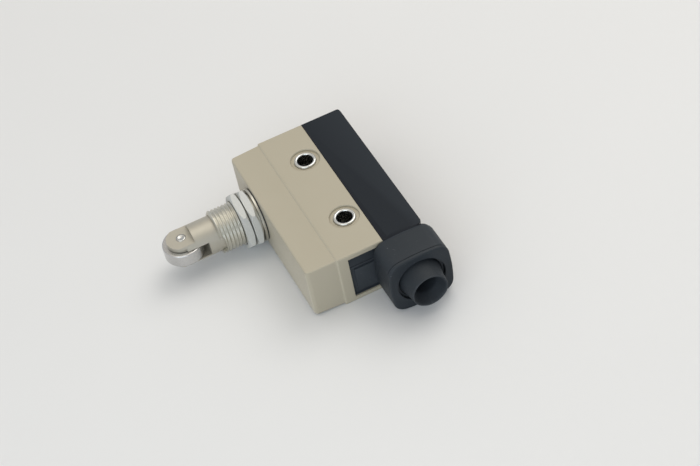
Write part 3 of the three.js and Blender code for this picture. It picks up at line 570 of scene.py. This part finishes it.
@dataclass
class Enclosure:
    """The cream case, its two mounting bushes and the black panel in its end."""

    wall: float = 1.8
    step_back: float = 8.7
    inset: float = 0.4
    drop: float = 0.3
    slope: float = 0.25
    draft: float = 0.25
    widest_round: float = 1.3
    trim_reach: float = 1.0
    trim_depth: float = 0.6
    column_wall: float = 1.3
    post_half: float = 2.6
    screw_core: float = 1.3
    sleeve_bore: float = 6.2
    bush_bore: float = 2.15
    window: Span = field(default_factory=lambda: Span(
        Vector((22.9, -5.5, 1.5)), Vector((27, 6, 15.5))))

    def build(self) -> None:
        """Builds and dresses the enclosure's pieces."""
        self.case()
        for node in BUSHES:
            self.bush(node)
        self.panel()

    def case(self) -> None:
        """Models the casting: a wide block with a drafted nose, then its hollows."""
        where = span("case")
        low, high = where.low, where.high
        step_y = low.y + self.step_back
        thing = block("Case", (low.x, step_y, low.z), high)
        self._draw_nose(thing, step_y, low.y, where)
        self._share_rounding(thing, step_y, low.y, where)
        round_edges(thing, self.widest_round, 6, by_weight=True)
        self._hollow(thing, where)
        hand_over(thing, "case", ENAMEL)

    def _draw_nose(self, thing: bpy.types.Object, step_y: float, front: float, where: Span) -> None:
        """Extrudes the nose out of the wide block's front face, smaller and drafted."""
        half_x, half_z = where.size.x / 2, where.size.z / 2
        centre = Vector((where.centre.x, step_y, where.centre.z)) * MM
        edit(thing)
        select_faces(thing, lambda middle, normal: normal.y < -0.9)
        push(0, -self.slope, 0)
        root = (half_x - self.inset, half_z - self.drop)
        bpy.ops.transform.resize(value=(root[0] / half_x, 1, root[1] / half_z), center_override=centre)
        push(0, front - step_y + self.slope, 0)
        bpy.ops.transform.resize(value=(1 - self.draft / root[0], 1, 1 - self.draft / root[1]),
                                 center_override=centre)
        bpy.ops.object.mode_set(mode="OBJECT")

    def _share_rounding(self, thing: bpy.types.Object, step_y: float, front: float, where: Span) -> None:
        """Says how far each edge is rounded: the nose's corners most, the step least."""
        near, long = 0.02, 5

        def at(point: Vector, y: float) -> bool:
            return abs(point.y - y) < near

        def upright(a: Vector, b: Vector) -> bool:
            return abs(a.z - b.z) > long and abs(a.x - b.x) < near

        def across(a: Vector, b: Vector) -> bool:
            return abs(a.x - b.x) > long

        edit(thing)
        weigh(thing, 0.9, lambda a, b: upright(a, b) and at(a, front))
        weigh(thing, 0.42, lambda a, b: across(a, b) and at(a, front))
        weigh(thing, 0.34, lambda a, b: abs(a.y - b.y) > long)
        for foot, share in ((step_y, 0.2), (step_y - self.slope, 0.12)):
            weigh(thing, share,
                  lambda a, b, y=foot: at(a, y) and at(b, y) and (upright(a, b) or across(a, b)))
        weigh(thing, 0.08, lambda a, b: at(a, where.high.y) and at(b, where.high.y))
        bpy.ops.object.mode_set(mode="OBJECT")

    def _hollow(self, thing: bpy.types.Object, where: Span) -> None:
        """Cuts the cavity, the mounting holes, the sleeve's bore and the end window."""
        low, high = where.low, where.high
        holes, screws = [span(node) for node in BUSHES], [span(node) for node in COVER_SCREWS]
        cavity = block("cavity", (low.x + self.wall, low.y + self.wall, low.z + self.wall),
                       (high.x - self.wall, high.y + PAST, high.z - self.wall))
        for hole in holes:
            radius = hole.size.x / 2 + self.column_wall
            boolean(cavity, turned("column", Axis.Z, hole.centre, [(radius, -PAST), (radius, high.z + PAST)]))
        for screw in screws:
            boolean(cavity, block("post", (screw.centre.x - self.post_half, screw.low.y - PAST, -PAST),
                                  (screw.centre.x + self.post_half, high.y + 2 * PAST, high.z + PAST)))
        boolean(thing, cavity)
        for hole in holes:
            boolean(thing, self._hole_tool(hole, high.z))
        for screw in screws:
            boolean(thing, turned("thread", Axis.Y, screw.centre, [
                (self.screw_core, screw.low.y - 2 * GAP), (self.screw_core, high.y + PAST)], 32))
        sleeve, ring = span("sleeve"), span("sleeve_ring")
        boolean(thing, turned("bore", Axis.Y, sleeve.centre, [
            (self.sleeve_bore, low.y - PAST), (self.sleeve_bore, sleeve.high.y)]))
        groove = ring.size.x / 2 + 3 * GAP
        boolean(thing, turned("ring", Axis.Y, sleeve.centre, [
            (groove, ring.low.y - 2 * GAP), (groove, ring.high.y + 6 * GAP)]))
        boolean(thing, block("window", self.window.low, self.window.high))

    def _hole_tool(self, hole: Span, top: float) -> bpy.types.Object:
        """Turns the tool for a mounting hole: the bush's bore with a soft-lipped ring at each end."""
        bore = hole.size.x / 2 + GAP
        ring = hole.size.x / 2 + self.trim_reach
        lip = 0.25
        profile = [
            (ring + 2 * lip, -lip), (ring + lip / 3, lip / 3), (ring, lip), (ring, self.trim_depth),
            (bore, self.trim_depth), (bore, top - self.trim_depth), (ring, top - self.trim_depth),
            (ring, top - lip), (ring + lip / 3, top - lip / 3), (ring + 2 * lip, top + lip)]
        return turned("mounting_hole", Axis.Z, hole.centre, profile)

    def bush(self, node: str) -> None:
        """Turns a bush: a tube whose two rims are rolled over round."""
        where = span(node)
        outer, bore = where.size.x / 2, self.bush_bore
        thing = turned(piece_name(node), Axis.Z, where.centre,
                       [(bore, where.low.z), (outer, where.low.z), (outer, where.high.z), (bore, where.high.z)],
                       ring=True)
        round_edges(thing, 0.38, 5)
        hand_over(thing, node, BRIGHT_NICKEL)

    def panel(self) -> None:
        """Models the end panel: a plate with a sloped band, a framed field and a raised pad."""
        where = span("end_panel")
        tongue_y, tongue_x = 0.75, 0.85
        face = where.high.x - 3 * GAP
        bottom, top = where.low.z, where.high.z
        front, back = where.low.y + tongue_y + GAP, where.high.y
        thick, band, groove, groove_depth, lean, near = 1.3, 3.2, 0.3, 0.35, 0.7, 0.1
        frame_width, frame_depth, moat, pad_rise, ledge = 0.35, 0.45, 0.85, 0.5, 0.35
        thing = block("EndPanel", (face - thick, front, bottom), (face, back, top))
        edit(thing)
        for height in (top - band, top - band - groove):
            bpy.ops.mesh.select_all(action="SELECT")
            bpy.ops.mesh.bisect(plane_co=(0, 0, height * MM), plane_no=(0, 0, 1))
        select_edges(thing, lambda a, b: min(a.x, b.x) > face - near and min(a.z, b.z) > top - near)
        bpy.ops.transform.translate(value=(-lean * MM, 0, 0))
        select_faces(thing, lambda middle, normal: normal.x > 0.9
                     and top - band - groove < middle.z < top - band)
        push(-groove_depth, 0, 0)
        select_faces(thing, lambda middle, normal: normal.x > 0.9 and middle.z < top - band - groove
                     and middle.x > face - GAP)
        bpy.ops.mesh.inset(thickness=frame_width * MM)
        push(-frame_depth, 0, 0)
        bpy.ops.mesh.inset(thickness=moat * MM)
        push(pad_rise, 0, 0)
        close_up()
        round_edges(thing, 0.12, 3)
        boolean(thing, block("web", (where.low.x + 0.5, front, bottom + ledge),
                             (face - thick + near, back, top - ledge)), Join.ADD)
        boolean(thing, block("tongue", (where.low.x, where.low.y, bottom + ledge),
                             (where.low.x + tongue_x - near, back, top - ledge)), Join.ADD)
        hand_over(thing, "end_panel", OUTLET_PLASTIC)


# ---------------------------------------------------------------------------
# Terminal cover with its outlet


@dataclass
class Outlet:
    """The rounded, slightly crowned square that the cable outlet's pieces share."""

    corner: float = 3.4
    crown: float = 0.2

    def section(self, name: str, x: float, where: Span, scale: float) -> bpy.types.Object:
        """Draws the section as one face, facing along X.

        Args:
            name: The new object's name.
            x: Where it stands, in millimetres.
            where: A box whose Y and Z sides the full section has.
            scale: How large this section is, as a share of the full one.

        Returns:
            The new object, in edit mode, with its face selected.
        """
        clear_selection()
        centre = Vector((x, where.centre.y, where.centre.z)) * MM
        bpy.ops.mesh.primitive_plane_add(size=1, location=centre, rotation=(0, math.pi / 2, 0))
        thing = bpy.context.object
        thing.name = name
        thing.scale = (where.size.z * MM, where.size.y * MM, 1)
        settle(thing)
        bpy.ops.object.mode_set(mode="EDIT")
        bpy.ops.mesh.select_all(action="SELECT")
        bpy.ops.mesh.bevel(offset=self.corner * MM, segments=10, affect="VERTICES")
        straight = 3
        select_edges(thing, lambda a, b: (a - b).length > straight)
        bpy.ops.mesh.subdivide(number_cuts=11)
        bpy.ops.mesh.select_all(action="SELECT")
        bpy.ops.transform.tosphere(value=self.crown)
        mesh = bmesh.from_edit_mesh(thing.data)
        reach = [max(abs(v.co[i] - centre[i]) for v in mesh.verts) for i in (1, 2)]
        fit = (1, where.size.y * MM / 2 / reach[0] * scale, where.size.z * MM / 2 / reach[1] * scale)
        bpy.ops.transform.resize(value=fit, center_override=centre)
        bpy.ops.mesh.select_mode(type="FACE")
        bpy.ops.mesh.select_all(action="SELECT")
        return thing

    def loft(self, name: str, where: Span, stations: Profile) -> bpy.types.Object:
        """Extrudes the section through stations along X.

        Args:
            name: The new object's name.
            where: The box that the full section has.
            stations: X and share of the full section, in order.

        Returns:
            The closed solid, at the origin.
        """
        thing = self.section(name, stations[0][0], where, stations[0][1])
        for (x, share), (next_x, next_share) in pairwise(stations):
            push(next_x - x, 0, 0)
            ratio = next_share / share
            centre = Vector((next_x, where.centre.y, where.centre.z)) * MM
            bpy.ops.transform.resize(value=(1, ratio, ratio), center_override=centre)
        close_up()
        return thing


@dataclass
class TerminalCover:
    """The black cover over the terminals, with the boss of its cable outlet and two screws."""

    wall: float = 1.8
    corner: float = 2.0
    soft: float = 0.4
    pillar: float = 2.6
    shank_bore: float = 1.35
    neck: float = 4.2
    flange_bore: float = 7.15
    screw_shank: float = 1.25
    screw_head_height: float = 1.6
    outlet: Outlet = field(default_factory=Outlet)

    def build(self) -> None:
        """Builds and dresses the cover and its screws."""
        self.cover()
        for node in COVER_SCREWS:
            self.screw(node)
        dress(frame["nodes"]["cover_gasket"], RUBBER)

    def cover(self) -> None:
        """Models the cover's box, rounds it, joins the boss and cuts the hollows."""
        where, case, cap = span("terminal_cover"), span("case"), span("conduit_cap")
        back = span("cover_screw_far").high.y + 4 * GAP
        joint, near, upright = case.high.y + GAP, 0.1, 5
        thing = block("TerminalCover", (case.low.x, joint, 0), (case.high.x, back, case.high.z))
        edit(thing)
        weigh(thing, 1.0, lambda a, b: abs(a.z - b.z) > upright and min(a.y, b.y) > back - near)
        weigh(thing, self.soft / self.corner,
              lambda a, b: abs(a.z - b.z) < near and max(a.y, b.y) > back - near)
        weigh(thing, 0.05, lambda a, b: max(a.y, b.y) < joint + near)
        bpy.ops.object.mode_set(mode="OBJECT")
        round_edges(thing, self.corner, 8, by_weight=True)
        cavity = block("cavity", (case.low.x + self.wall, joint - PAST, self.wall),
                       (case.high.x - self.wall, back - self.wall, case.high.z - self.wall))
        for node in COVER_SCREWS:
            boolean(cavity, turned("pillar", Axis.Y, span(node).centre,
                                   [(self.pillar, joint), (self.pillar, back)], 48))
        boolean(thing, cavity)
        boolean(thing, self._boss(cap, case, where, joint), Join.ADD)
        self._cut_gasket_groove(thing)
        self._bore(thing, cap, where, back)
        hand_over(thing, "terminal_cover", BLACK_PLASTIC)
        self._paint_boss_lighter(thing, case.high.x + 0.35)

    def _boss(self, cap: Span, case: Span, where: Span, joint: float) -> bpy.types.Object:
        """Lofts the boss from inside the cover's end wall, flaring out to its full size."""
        root, end = case.high.x, where.high.x
        slim, edge = 0.962, 0.1
        stations = [
            (root - PAST, slim), (root + 0.2, slim), (root + 0.4, slim + 0.008), (root + 0.6, 0.98),
            (root + 0.9, 0.994), (root + 1.3, 1.0), (end - edge, 1.0), (end, 0.994)]
        boss = self.outlet.loft("boss", cap, stations)
        boolean(boss, block("clear", (root - 3, -20, -5), (root + 0.3, joint, 25)))
        boolean(boss, block("clear", (root - 3, 14.5, -5), (root - 0.01, 25, 25)))
        return boss

    def _cut_gasket_groove(self, thing: bpy.types.Object) -> None:
        """Cuts the groove that the joint's gasket lies in."""
        gasket = span("cover_gasket")
        side, width = Vector((GAP, 0, GAP)), Vector((0.8, 0, 0.8))
        low, high, along = gasket.low - side, gasket.high + side, Vector((0, PAST, 0))
        groove = block("groove", low - along, high + Vector((0, 0.02, 0)))
        boolean(groove, block("core", low - 2 * along + width, high + along - width))
        boolean(thing, groove)

    def _bore(self, thing: bpy.types.Object, cap: Span, where: Span, back: float) -> None:
        """Bores the cable's way and the screws' holes."""
        gland = span("cable_gland")
        inside, end = 22, where.high.x + PAST
        boolean(thing, turned("neck", Axis.X, cap.centre, [(self.neck, inside), (self.neck, end)], 64))
        boolean(thing, turned("seat", Axis.X, cap.centre, [
            (self.flange_bore, gland.low.x - GAP), (self.flange_bore, end)]))
        for node in COVER_SCREWS:
            screw = span(node)
            head, seat = screw.size.x / 2 + 3 * GAP, screw.high.y - self.screw_head_height - 0.3
            boolean(thing, turned("shank", Axis.Y, screw.centre, [
                (self.shank_bore, 0), (self.shank_bore, back + PAST)], 32))
            boolean(thing, turned("sink", Axis.Y, screw.centre, [
                (head, seat), (head, back - 0.2), (head + 0.3, back + 0.1)], 64))

    def _paint_boss_lighter(self, thing: bpy.types.Object, start: float) -> None:
        """Gives the faces of the boss the lighter outlet plastic, partly painted light, with its coarser
        moulded texture.
        """
        thing.data.materials.append(OUTLET_PLASTIC.material())
        for face in thing.data.polygons:
            if face.center.x / MM > start:
                face.material_index = 1

    def screw(self, node: str) -> None:
        """Turns a cover screw and slots its head."""
        where = span(node)
        head, top = where.size.x / 2, where.high.y
        seat, shank, edge = top - self.screw_head_height, self.screw_shank, 0.35
        thing = turned(piece_name(node), Axis.Y, where.centre, [
            (shank - edge, where.low.y), (shank, where.low.y + edge), (shank, seat), (head, seat),
            (head, top - 2 * edge), (head - edge / 3, top - edge), (head - 1.3 * edge, top - edge / 3),
            (head - 3 * edge, top)], 48)
        centre, depth, narrow, reach = where.centre, 0.8, 0.4, 1.5
        for wide, tall in ((narrow, reach), (reach, narrow)):
            boolean(thing, block("slot", (centre.x - wide, top - depth, centre.z - tall),
                                 (centre.x + wide, top + PAST, centre.z + tall)))
        hand_over(thing, node, ZINC)


@dataclass
class CableOutlet:
    """The cap on the boss, the rubber gland that it holds and the washer between them."""

    bore: float = 6.7
    outlet: Outlet = field(default_factory=Outlet)

    def build(self) -> None:
        """Builds and dresses the outlet's pieces."""
        self.cap()
        self.gland()
        dress(frame["nodes"]["gland_washer"], OUTLET_PLASTIC)

    def cap(self) -> None:
        """Lofts the cap with soft edges and bores it."""
        where = span("conduit_cap")
        low, high = where.low.x, where.high.x
        thing = self.outlet.loft("ConduitCap", where, [
            (low, 0.992), (low + 0.08, 1.0), (high - 0.5, 1.0), (high - 0.3, 0.993),
            (high - 0.14, 0.98), (high - 0.04, 0.962), (high, 0.945)])
        edge = 0.25
        boolean(thing, turned("bore", Axis.X, where.centre, [
            (self.bore, low - PAST), (self.bore, high - edge), (self.bore + 0.3 * edge, high - 0.3 * edge),
            (self.bore + edge, high), (self.bore + edge, high + PAST)]))
        hand_over(thing, "conduit_cap", OUTLET_PLASTIC)

    def gland(self) -> None:
        """Turns the gland: a flange, a tapering tube and a funnel in its mouth."""
        where, cap = span("cable_gland"), span("conduit_cap")
        seat = span("gland_washer").low.x - GAP
        flange, throat, mouth = where.size.z / 2, 3.1, 5.0
        foot, rim = 6.0, where.high.x
        face = cap.high.x
        thing = turned("CableGland", Axis.X, cap.centre, [
            (throat, where.low.x), (flange, where.low.x), (flange, seat), (foot, seat),
            (foot - 0.1, face - 0.9), (5.6, face + 0.1), (5.2, rim - 2.2), (mouth + 0.02, rim - 0.6),
            (mouth, rim - 0.15), (mouth - 0.12, rim), (mouth - 0.3, rim), (mouth - 0.42, rim - 0.12),
            (mouth - 0.7, rim - 0.8), (3.8, rim - 2.1), (3.3, rim - 3.0), (throat, rim - 3.6)], 96, ring=True)
        hand_over(thing, "cable_gland", RUBBER, crease=50)


# ---------------------------------------------------------------------------
# Plunger head


@dataclass
class PlungerHead:
    """The threaded sleeve, its two lock nuts, its gasket and the pin that guides the plunger."""

    thread: float = 6.15
    thread_depth: float = 0.33
    pitch: float = 1.0
    collar_edge: float = 0.1
    notch: float = 2.3
    notch_depth: float = 1.15
    nut_bore: float = 6.2

    def build(self) -> None:
        """Builds and dresses the head's pieces."""
        self.sleeve()
        self.nut("lock_nut_inner", 46)
        self.nut("lock_nut_outer", 43)
        self.guide_pin()
        dress(frame["nodes"]["sleeve_gasket"], RUBBER)

    def sleeve(self) -> None:
        """Turns the sleeve, rolls its thread and mills the roller's two notches."""
        where, gasket, ring = span("sleeve"), span("sleeve_gasket"), span("sleeve_ring")
        mouth, tail = where.low.y, where.high.y
        collar, collar_back = where.size.x / 2, gasket.low.y - 0.02
        collar_front = collar_back - 0.65
        shoulder, bore, wide_bore = mouth + SHOULDER_DEPTH, 5.15, 5.35
        start, stop, fine = mouth + 0.4, collar_front - 0.1, 0.1
        ring_low, ring_high, lead = ring.low.y - GAP, ring.high.y + GAP, 0.15
        count = round((stop - start) / fine)
        flank = [(self.thread, start + (stop - start) * i / count) for i in range(count + 1)]
        edge = self.collar_edge
        groove = self.thread - 0.4
        profile = [
            (bore + lead, mouth), (self.thread - 3 * lead, mouth), *flank, (self.thread, collar_front),
            (collar - edge, collar_front), (collar, collar_front + edge), (collar, collar_back - edge),
            (collar - edge, collar_back), (self.thread, collar_back), (self.thread, ring_low),
            (groove, ring_low), (groove, ring_high), (self.thread, ring_high), (self.thread, tail),
            (wide_bore, tail), (wide_bore, shoulder), (bore, shoulder), (bore, mouth + lead)]
        thing = turned("Sleeve", Axis.Y, where.centre, profile, 96, ring=True)
        self._roll_thread(thing, where.centre, start, stop)
        tool = block("notch", (where.low.x - 5, mouth - 3, where.centre.z - self.notch),
                     (where.high.x + 5, mouth + self.notch_depth, where.centre.z + self.notch))
        round_edges(tool, 0.25, 3)
        boolean(thing, tool)
        pin = span("guide_pin")
        hole = pin.size.x / 2 + GAP
        boolean(thing, turned("pin_hole", Axis.Z, pin.centre, [(hole, 0), (hole, pin.high.z + PAST)], 32))
        hand_over(thing, "sleeve", THREAD_NICKEL, crease=42)

    def _roll_thread(self, thing: bpy.types.Object, centre: Vector, start: float, stop: float) -> None:
        """Presses a helix into the sleeve's outside, which no operator can do.

        Args:
            thing: The sleeve.
            centre: A point on its axis.
            start: Where the thread starts, along Y.
            stop: Where it runs out.
        """
        crest, fade = 0.22, 0.5
        for vertex in thing.data.vertices:
            place = vertex.co / MM
            across = Vector((place.x - centre.x, 0, place.z - centre.z))
            if abs(across.length - self.thread) > 0.01 or not start - 0.01 < place.y < stop + 0.01:
                continue
            turn = math.atan2(across.z, across.x) / (2 * math.pi)
            phase = abs(2 * ((place.y / self.pitch - turn) % 1) - 1)
            depth = min(1, max(0, (phase - crest) / (1 - 2 * crest))) * self.thread_depth
            depth *= min(1, (place.y - start) / fade) * min(1, (stop - place.y) / fade)
            vertex.co = (place - across.normalized() * depth) * MM

    def nut(self, node: str, corner_turn: float) -> None:
        """Models a nut: a hexagon with its corners turned off, and a bore.

        Args:
            node: The CAD node.
            corner_turn: Where one corner points, in degrees from +X towards +Z.
        """
        where, sleeve = span(node), span("sleeve")
        flats, low, high = 7.5, where.low.y, where.high.y
        corner = flats / math.cos(math.pi / 6)
        thing = turned(piece_name(node), Axis.Y, sleeve.centre, [(corner, low), (corner, high)], 6)
        edit(thing)
        bpy.ops.mesh.select_all(action="SELECT")
        bpy.ops.transform.rotate(value=math.radians(-corner_turn - 30), orient_axis="Y",
                                 orient_type="GLOBAL", center_override=sleeve.centre * MM)
        bpy.ops.object.mode_set(mode="OBJECT")
        rise = (corner - flats) * math.tan(math.radians(30))
        blank = turned("blank", Axis.Y, sleeve.centre, [
            (flats - 0.1, low), (flats + 0.15, low + 0.06), (corner, low + rise), (corner, high - rise),
            (flats + 0.15, high - 0.06), (flats - 0.1, high)])
        boolean(thing, blank, Join.KEEP_INSIDE)
        lead = 0.3
        boolean(thing, turned("bore", Axis.Y, sleeve.centre, [
            (self.nut_bore + lead, low - 0.01), (self.nut_bore, low + lead), (self.nut_bore, high - lead),
            (self.nut_bore + lead, high + 0.01)]))
        round_edges(thing, 0.07, 2, over=25)
        hand_over(thing, node, ZINC)

    def guide_pin(self) -> None:
        """Turns the pin that keeps the plunger from turning."""
        where = span("guide_pin")
        radius, edge = where.size.x / 2, 0.12
        thing = turned("GuidePin", Axis.Z, where.centre, [
            (radius - edge, where.low.z), (radius, where.low.z + edge), (radius, where.high.z - edge),
            (radius - edge, where.high.z)], 32)
        hand_over(thing, "guide_pin", PIN_STEEL)


@dataclass
class RollerPlunger:
    """The plunger with its fork, the roller in it and the pin that carries the roller."""

    body: float = 5.1
    ear_round: float = 4.1
    ear_top: float = 3.5
    slot: float = 2.15
    slot_reach: float = 6.05
    flat_length: float = 6.8
    pin_bore: float = 1.35

    def build(self) -> None:
        """Builds and dresses the plunger, the roller and its pin."""
        self.plunger()
        self.roller()
        self.pin()
        dress(frame["nodes"]["plunger_seal"], RUBBER)

    def plunger(self) -> None:
        """Turns the plunger, bores it from behind and mills its fork."""
        where, seal, roller = span("plunger"), span("plunger_seal"), span("roller")
        shoulder, skirt, stop = span("sleeve").low.y + SHOULDER_DEPTH + GAP, where.size.x / 2, span("rod_stop")
        wide, narrow, deep, edge = 4.0, 2.7, 6.55, 0.2
        root, tip, tail, floor = self.body - 0.9, where.low.y, where.high.y, stop.low.y - GAP
        seal_low, seal_high = seal.low.y - GAP, seal.high.y + GAP
        thing = turned("Plunger", Axis.Y, where.centre, [
            (self.body, tip), (self.body, seal_low), (root, seal_low), (root, seal_high),
            (self.body, seal_high), (self.body, shoulder), (skirt, shoulder), (skirt, tail - edge),
            (skirt - edge, tail), (wide, tail), (wide, floor), (narrow, floor), (narrow, stop.low.y - deep)])
        self._mill_fork(thing, where, roller.centre)
        hand_over(thing, "plunger", NICKEL)

    def _mill_fork(self, thing: bpy.types.Object, where: Span, hub: Vector) -> None:
        """Mills the slot, the two flats, the ears' round ends, the guide groove and the pin's hole."""
        x, z = where.centre.x, where.centre.z
        tip = where.low.y
        side, front, below, above = self.body + 1, tip - PAST, -5, 25
        tools = [block("slot", (x - side, front, z - self.slot),
                       (x + side, hub.y + self.slot_reach, z + self.slot))]
        for low, high in ((z + self.ear_top, z + side), (z - side, z - self.ear_top)):
            tools.append(block("flat", (x - side, front, low), (x + side, tip + self.flat_length, high)))
        ends = block("ends", (x - side, front, z - side), (x + side, hub.y, z + side))
        boolean(ends, turned("round", Axis.Z, hub, [(self.ear_round, below), (self.ear_round, above)]))
        tools.append(ends)
        guide = span("guide_pin")
        half, travel, spare, root = guide.size.x / 2 + GAP, 4.6, 0.7, 4.3
        tools.append(block("groove", (x - half, guide.low.y - travel, z - side),
                           (x + half, guide.high.y + spare, z - root)))
        for tool in tools:
            boolean(thing, tool)
        boolean(thing, turned("pin_hole", Axis.Z, hub, [(self.pin_bore, below), (self.pin_bore, above)], 64))
        round_edges(thing, 0.1, 2, over=40)

    def roller(self) -> None:
        """Turns the roller: a wide steel ring with softened rims."""
        where = span("roller")
        outer, hub, low, high = where.size.x / 2, self.pin_bore, where.low.z, where.high.z
        thing = turned("Roller", Axis.Z, where.centre,
                       [(hub, low), (outer, low), (outer, high), (hub, high)], 128, ring=True)
        round_edges(thing, 0.35, 4)
        marks = TurningMarks(Axis.Z, where.centre, pitch=0.35, depth=0.012)
        steel = Finish("Steel_roller_turned", "#cdcccb", "#bfbebd", 0.26, grain=0.1, grain_depth=0.003,
                       metallic=1.0, marks=marks)
        hand_over(thing, "roller", steel)

    def pin(self) -> None:
        """Turns the pin and rivets both its ends over, with a dimple in each."""
        where = span("roller_pin")
        radius, low, high = where.size.x / 2, where.low.z, where.high.z
        edge, dimple, deep = 0.2, 0.55, 0.25
        thing = turned("RollerPin", Axis.Z, where.centre, [
            (dimple / 2, low + deep), (dimple, low + deep / 2), (dimple + 0.2, low), (radius - edge, low),
            (radius - edge / 3, low + edge / 3), (radius, low + edge), (radius, high - edge),
            (radius - edge / 3, high - edge / 3), (radius - edge, high), (dimple + 0.2, high),
            (dimple, high - deep / 2), (dimple / 2, high - deep)], 64)
        hand_over(thing, "roller_pin", PIN_STEEL, crease=60)


# ---------------------------------------------------------------------------
# What is inside


@dataclass
class Mechanism:
    """The pieces inside the case, which keep their CAD shapes and get their finishes."""

    finishes: dict[str, Finish] = field(default_factory=lambda: {
        "push_rod": PIN_STEEL, "push_foot": SPRING_STEEL, "rod_stop": SPRING_STEEL,
        "spring_seat": SPRING_STEEL, "sleeve_ring": SPRING_STEEL, "return_spring": SPRING_STEEL,
        "overtravel_spring": SPRING_STEEL, "switch_cover": PALE_PLASTIC, "push_button": PALE_PLASTIC,
        "switch_base": PHENOLIC, "terminal_block": PHENOLIC, "snap_blade": BRASS, "terminal_common": BRASS,
        "terminal_normally_open": BRASS, "terminal_normally_closed": BRASS, "moving_contact": SILVER,
        "contact_normally_open": SILVER, "contact_normally_closed": SILVER, "terminal_screw_1": ZINC,
        "terminal_screw_2": ZINC, "terminal_screw_3": ZINC})

    def dress(self) -> None:
        """Gives each inner piece its finish."""
        for node, finish in self.finishes.items():
            dress(frame["nodes"][node], finish)
            LOG.info("%s: %s", node, finish.name)


# ---------------------------------------------------------------------------
# Studio


@dataclass
class Studio:
    """A pale table, a soft sky, two soft lights and the camera. Sizes in metres."""

    table: str = "#dddddd"
    sky: float = 0.62
    overhead: float = 0.7
    behind_camera: float = 0.36
    low_tint: tuple[float, float, float, float] = (0.86, 0.96, 1.14, 1.0)
    high_tint: tuple[float, float, float, float] = (1.04, 1.0, 0.93, 1.0)
    azimuth: float = 73.699
    elevation: float = 45.966
    roll: float = -12.538
    distance: float = 0.512589
    target: Vector = field(default_factory=lambda: Vector((0.002957, 0.003335, 0)))
    lens: float = 97.714
    sensor: float = 36

    def build(self) -> None:
        """Sets up the table, the lights and the camera."""
        self.floor()
        self.world()
        self.light("Key", Vector((-0.18, 0.36, 0.54)), 0.45, 1.4, (1.0, 0.98, 0.93))
        self.light("Fill", Vector((0.5, -0.38, 0.3)), 0.6, 2.0, (0.8, 0.91, 1.0))
        self.camera()

    def floor(self) -> None:
        """Lays the table under the part, with a faint unevenness."""
        clear_selection()
        bpy.ops.mesh.primitive_plane_add(size=4)
        table = bpy.context.object
        table.name = "Table"
        dress(table, Finish("Laminate_table_pale", self.table, "#e1e1e1", 0.6, grain=2, grain_depth=0.002,
                            mottle_size=120))

    def world(self) -> None:
        """Lights everything as a pale room does: brighter overhead, darker behind the camera."""
        world = bpy.data.worlds.new("Room")
        world.use_nodes = True
        tree = world.node_tree
        way = add_node(tree, "ShaderNodeTexCoord").outputs["Generated"]
        above = add_node(tree, "ShaderNodeVectorMath", {0: way, 1: (0, 0, 1)}, operation="DOT_PRODUCT")
        ceiling = add_node(tree, "ShaderNodeMapRange", {
            "Value": above.outputs["Value"], "From Min": 0.75, "From Max": 1.0,
            "To Min": self.sky, "To Max": self.sky + self.overhead}, interpolation_type="SMOOTHSTEP")
        facing = add_node(tree, "ShaderNodeVectorMath", {0: way, 1: tuple(self.back())},
                          operation="DOT_PRODUCT")
        shade = add_node(tree, "ShaderNodeMapRange", {
            "Value": facing.outputs["Value"], "From Min": 0.8, "From Max": 0.95,
            "To Min": 1.0, "To Max": self.behind_camera}, interpolation_type="SMOOTHSTEP")
        strength = add_node(tree, "ShaderNodeMath", {
            0: ceiling.outputs["Result"], 1: shade.outputs["Result"]}, operation="MULTIPLY")
        background = tree.nodes["Background"]
        height = add_node(tree, "ShaderNodeMapRange", {"Value": above.outputs["Value"], "From Max": 0.7})
        tint = add_node(tree, "ShaderNodeMix", {
            SHARE: height.outputs["Result"], FIRST: self.low_tint, SECOND: self.high_tint}, data_type="RGBA")
        tree.links.new(tint.outputs[RESULT], background.inputs["Color"])
        tree.links.new(strength.outputs["Value"], background.inputs["Strength"])
        bpy.context.scene.world = world
        bpy.context.scene.view_settings.view_transform = "Standard"

    def light(self, name: str, place: Vector, size: float, power: float,
              tint: tuple[float, float, float]) -> None:
        """Adds a soft lamp that looks at the part.

        Args:
            name: The lamp's name.
            place: Where it hangs.
            size: The side of its square.
            power: In watts.
            tint: Its colour.
        """
        clear_selection()
        bpy.ops.object.light_add(type="AREA", location=place)
        lamp = bpy.context.object
        lamp.name = name
        lamp.data.size = size
        lamp.data.energy = power
        lamp.data.color = tint
        lamp.rotation_euler = (place - self.target).to_track_quat("Z", "Y").to_euler()

    def back(self) -> Vector:
        """Says which way the camera lies from what it looks at."""
        turn, rise = math.radians(self.azimuth), math.radians(self.elevation)
        return Vector((math.sin(turn) * math.cos(rise), -math.cos(turn) * math.cos(rise), math.sin(rise)))

    def camera(self) -> None:
        """Places the camera and makes it the scene's."""
        back, roll = self.back(), math.radians(self.roll)
        level = (-back).cross(Vector((0, 0, 1))).normalized()
        upright = level.cross(-back)
        right = math.cos(roll) * level + math.sin(roll) * upright
        up = math.cos(roll) * upright - math.sin(roll) * level
        clear_selection()
        bpy.ops.object.camera_add(location=self.target + back * self.distance)
        camera = bpy.context.object
        camera.rotation_euler = Matrix((right, up, back)).transposed().to_euler()
        camera.data.sensor_width = self.sensor
        camera.data.lens = self.lens
        camera.data.clip_start = 0.01
        bpy.context.scene.camera = camera


def main() -> None:
    """Builds the whole scene, sub-assembly by sub-assembly."""
    logging.basicConfig(level=logging.INFO, format="%(name)s: %(message)s")
    for assembly in (Enclosure(), TerminalCover(), CableOutlet(), PlungerHead(), RollerPlunger()):
        LOG.info("%s", type(assembly).__name__)
        assembly.build()
    Mechanism().dress()
    Studio().build()


if __name__ == "__main__":
    main()
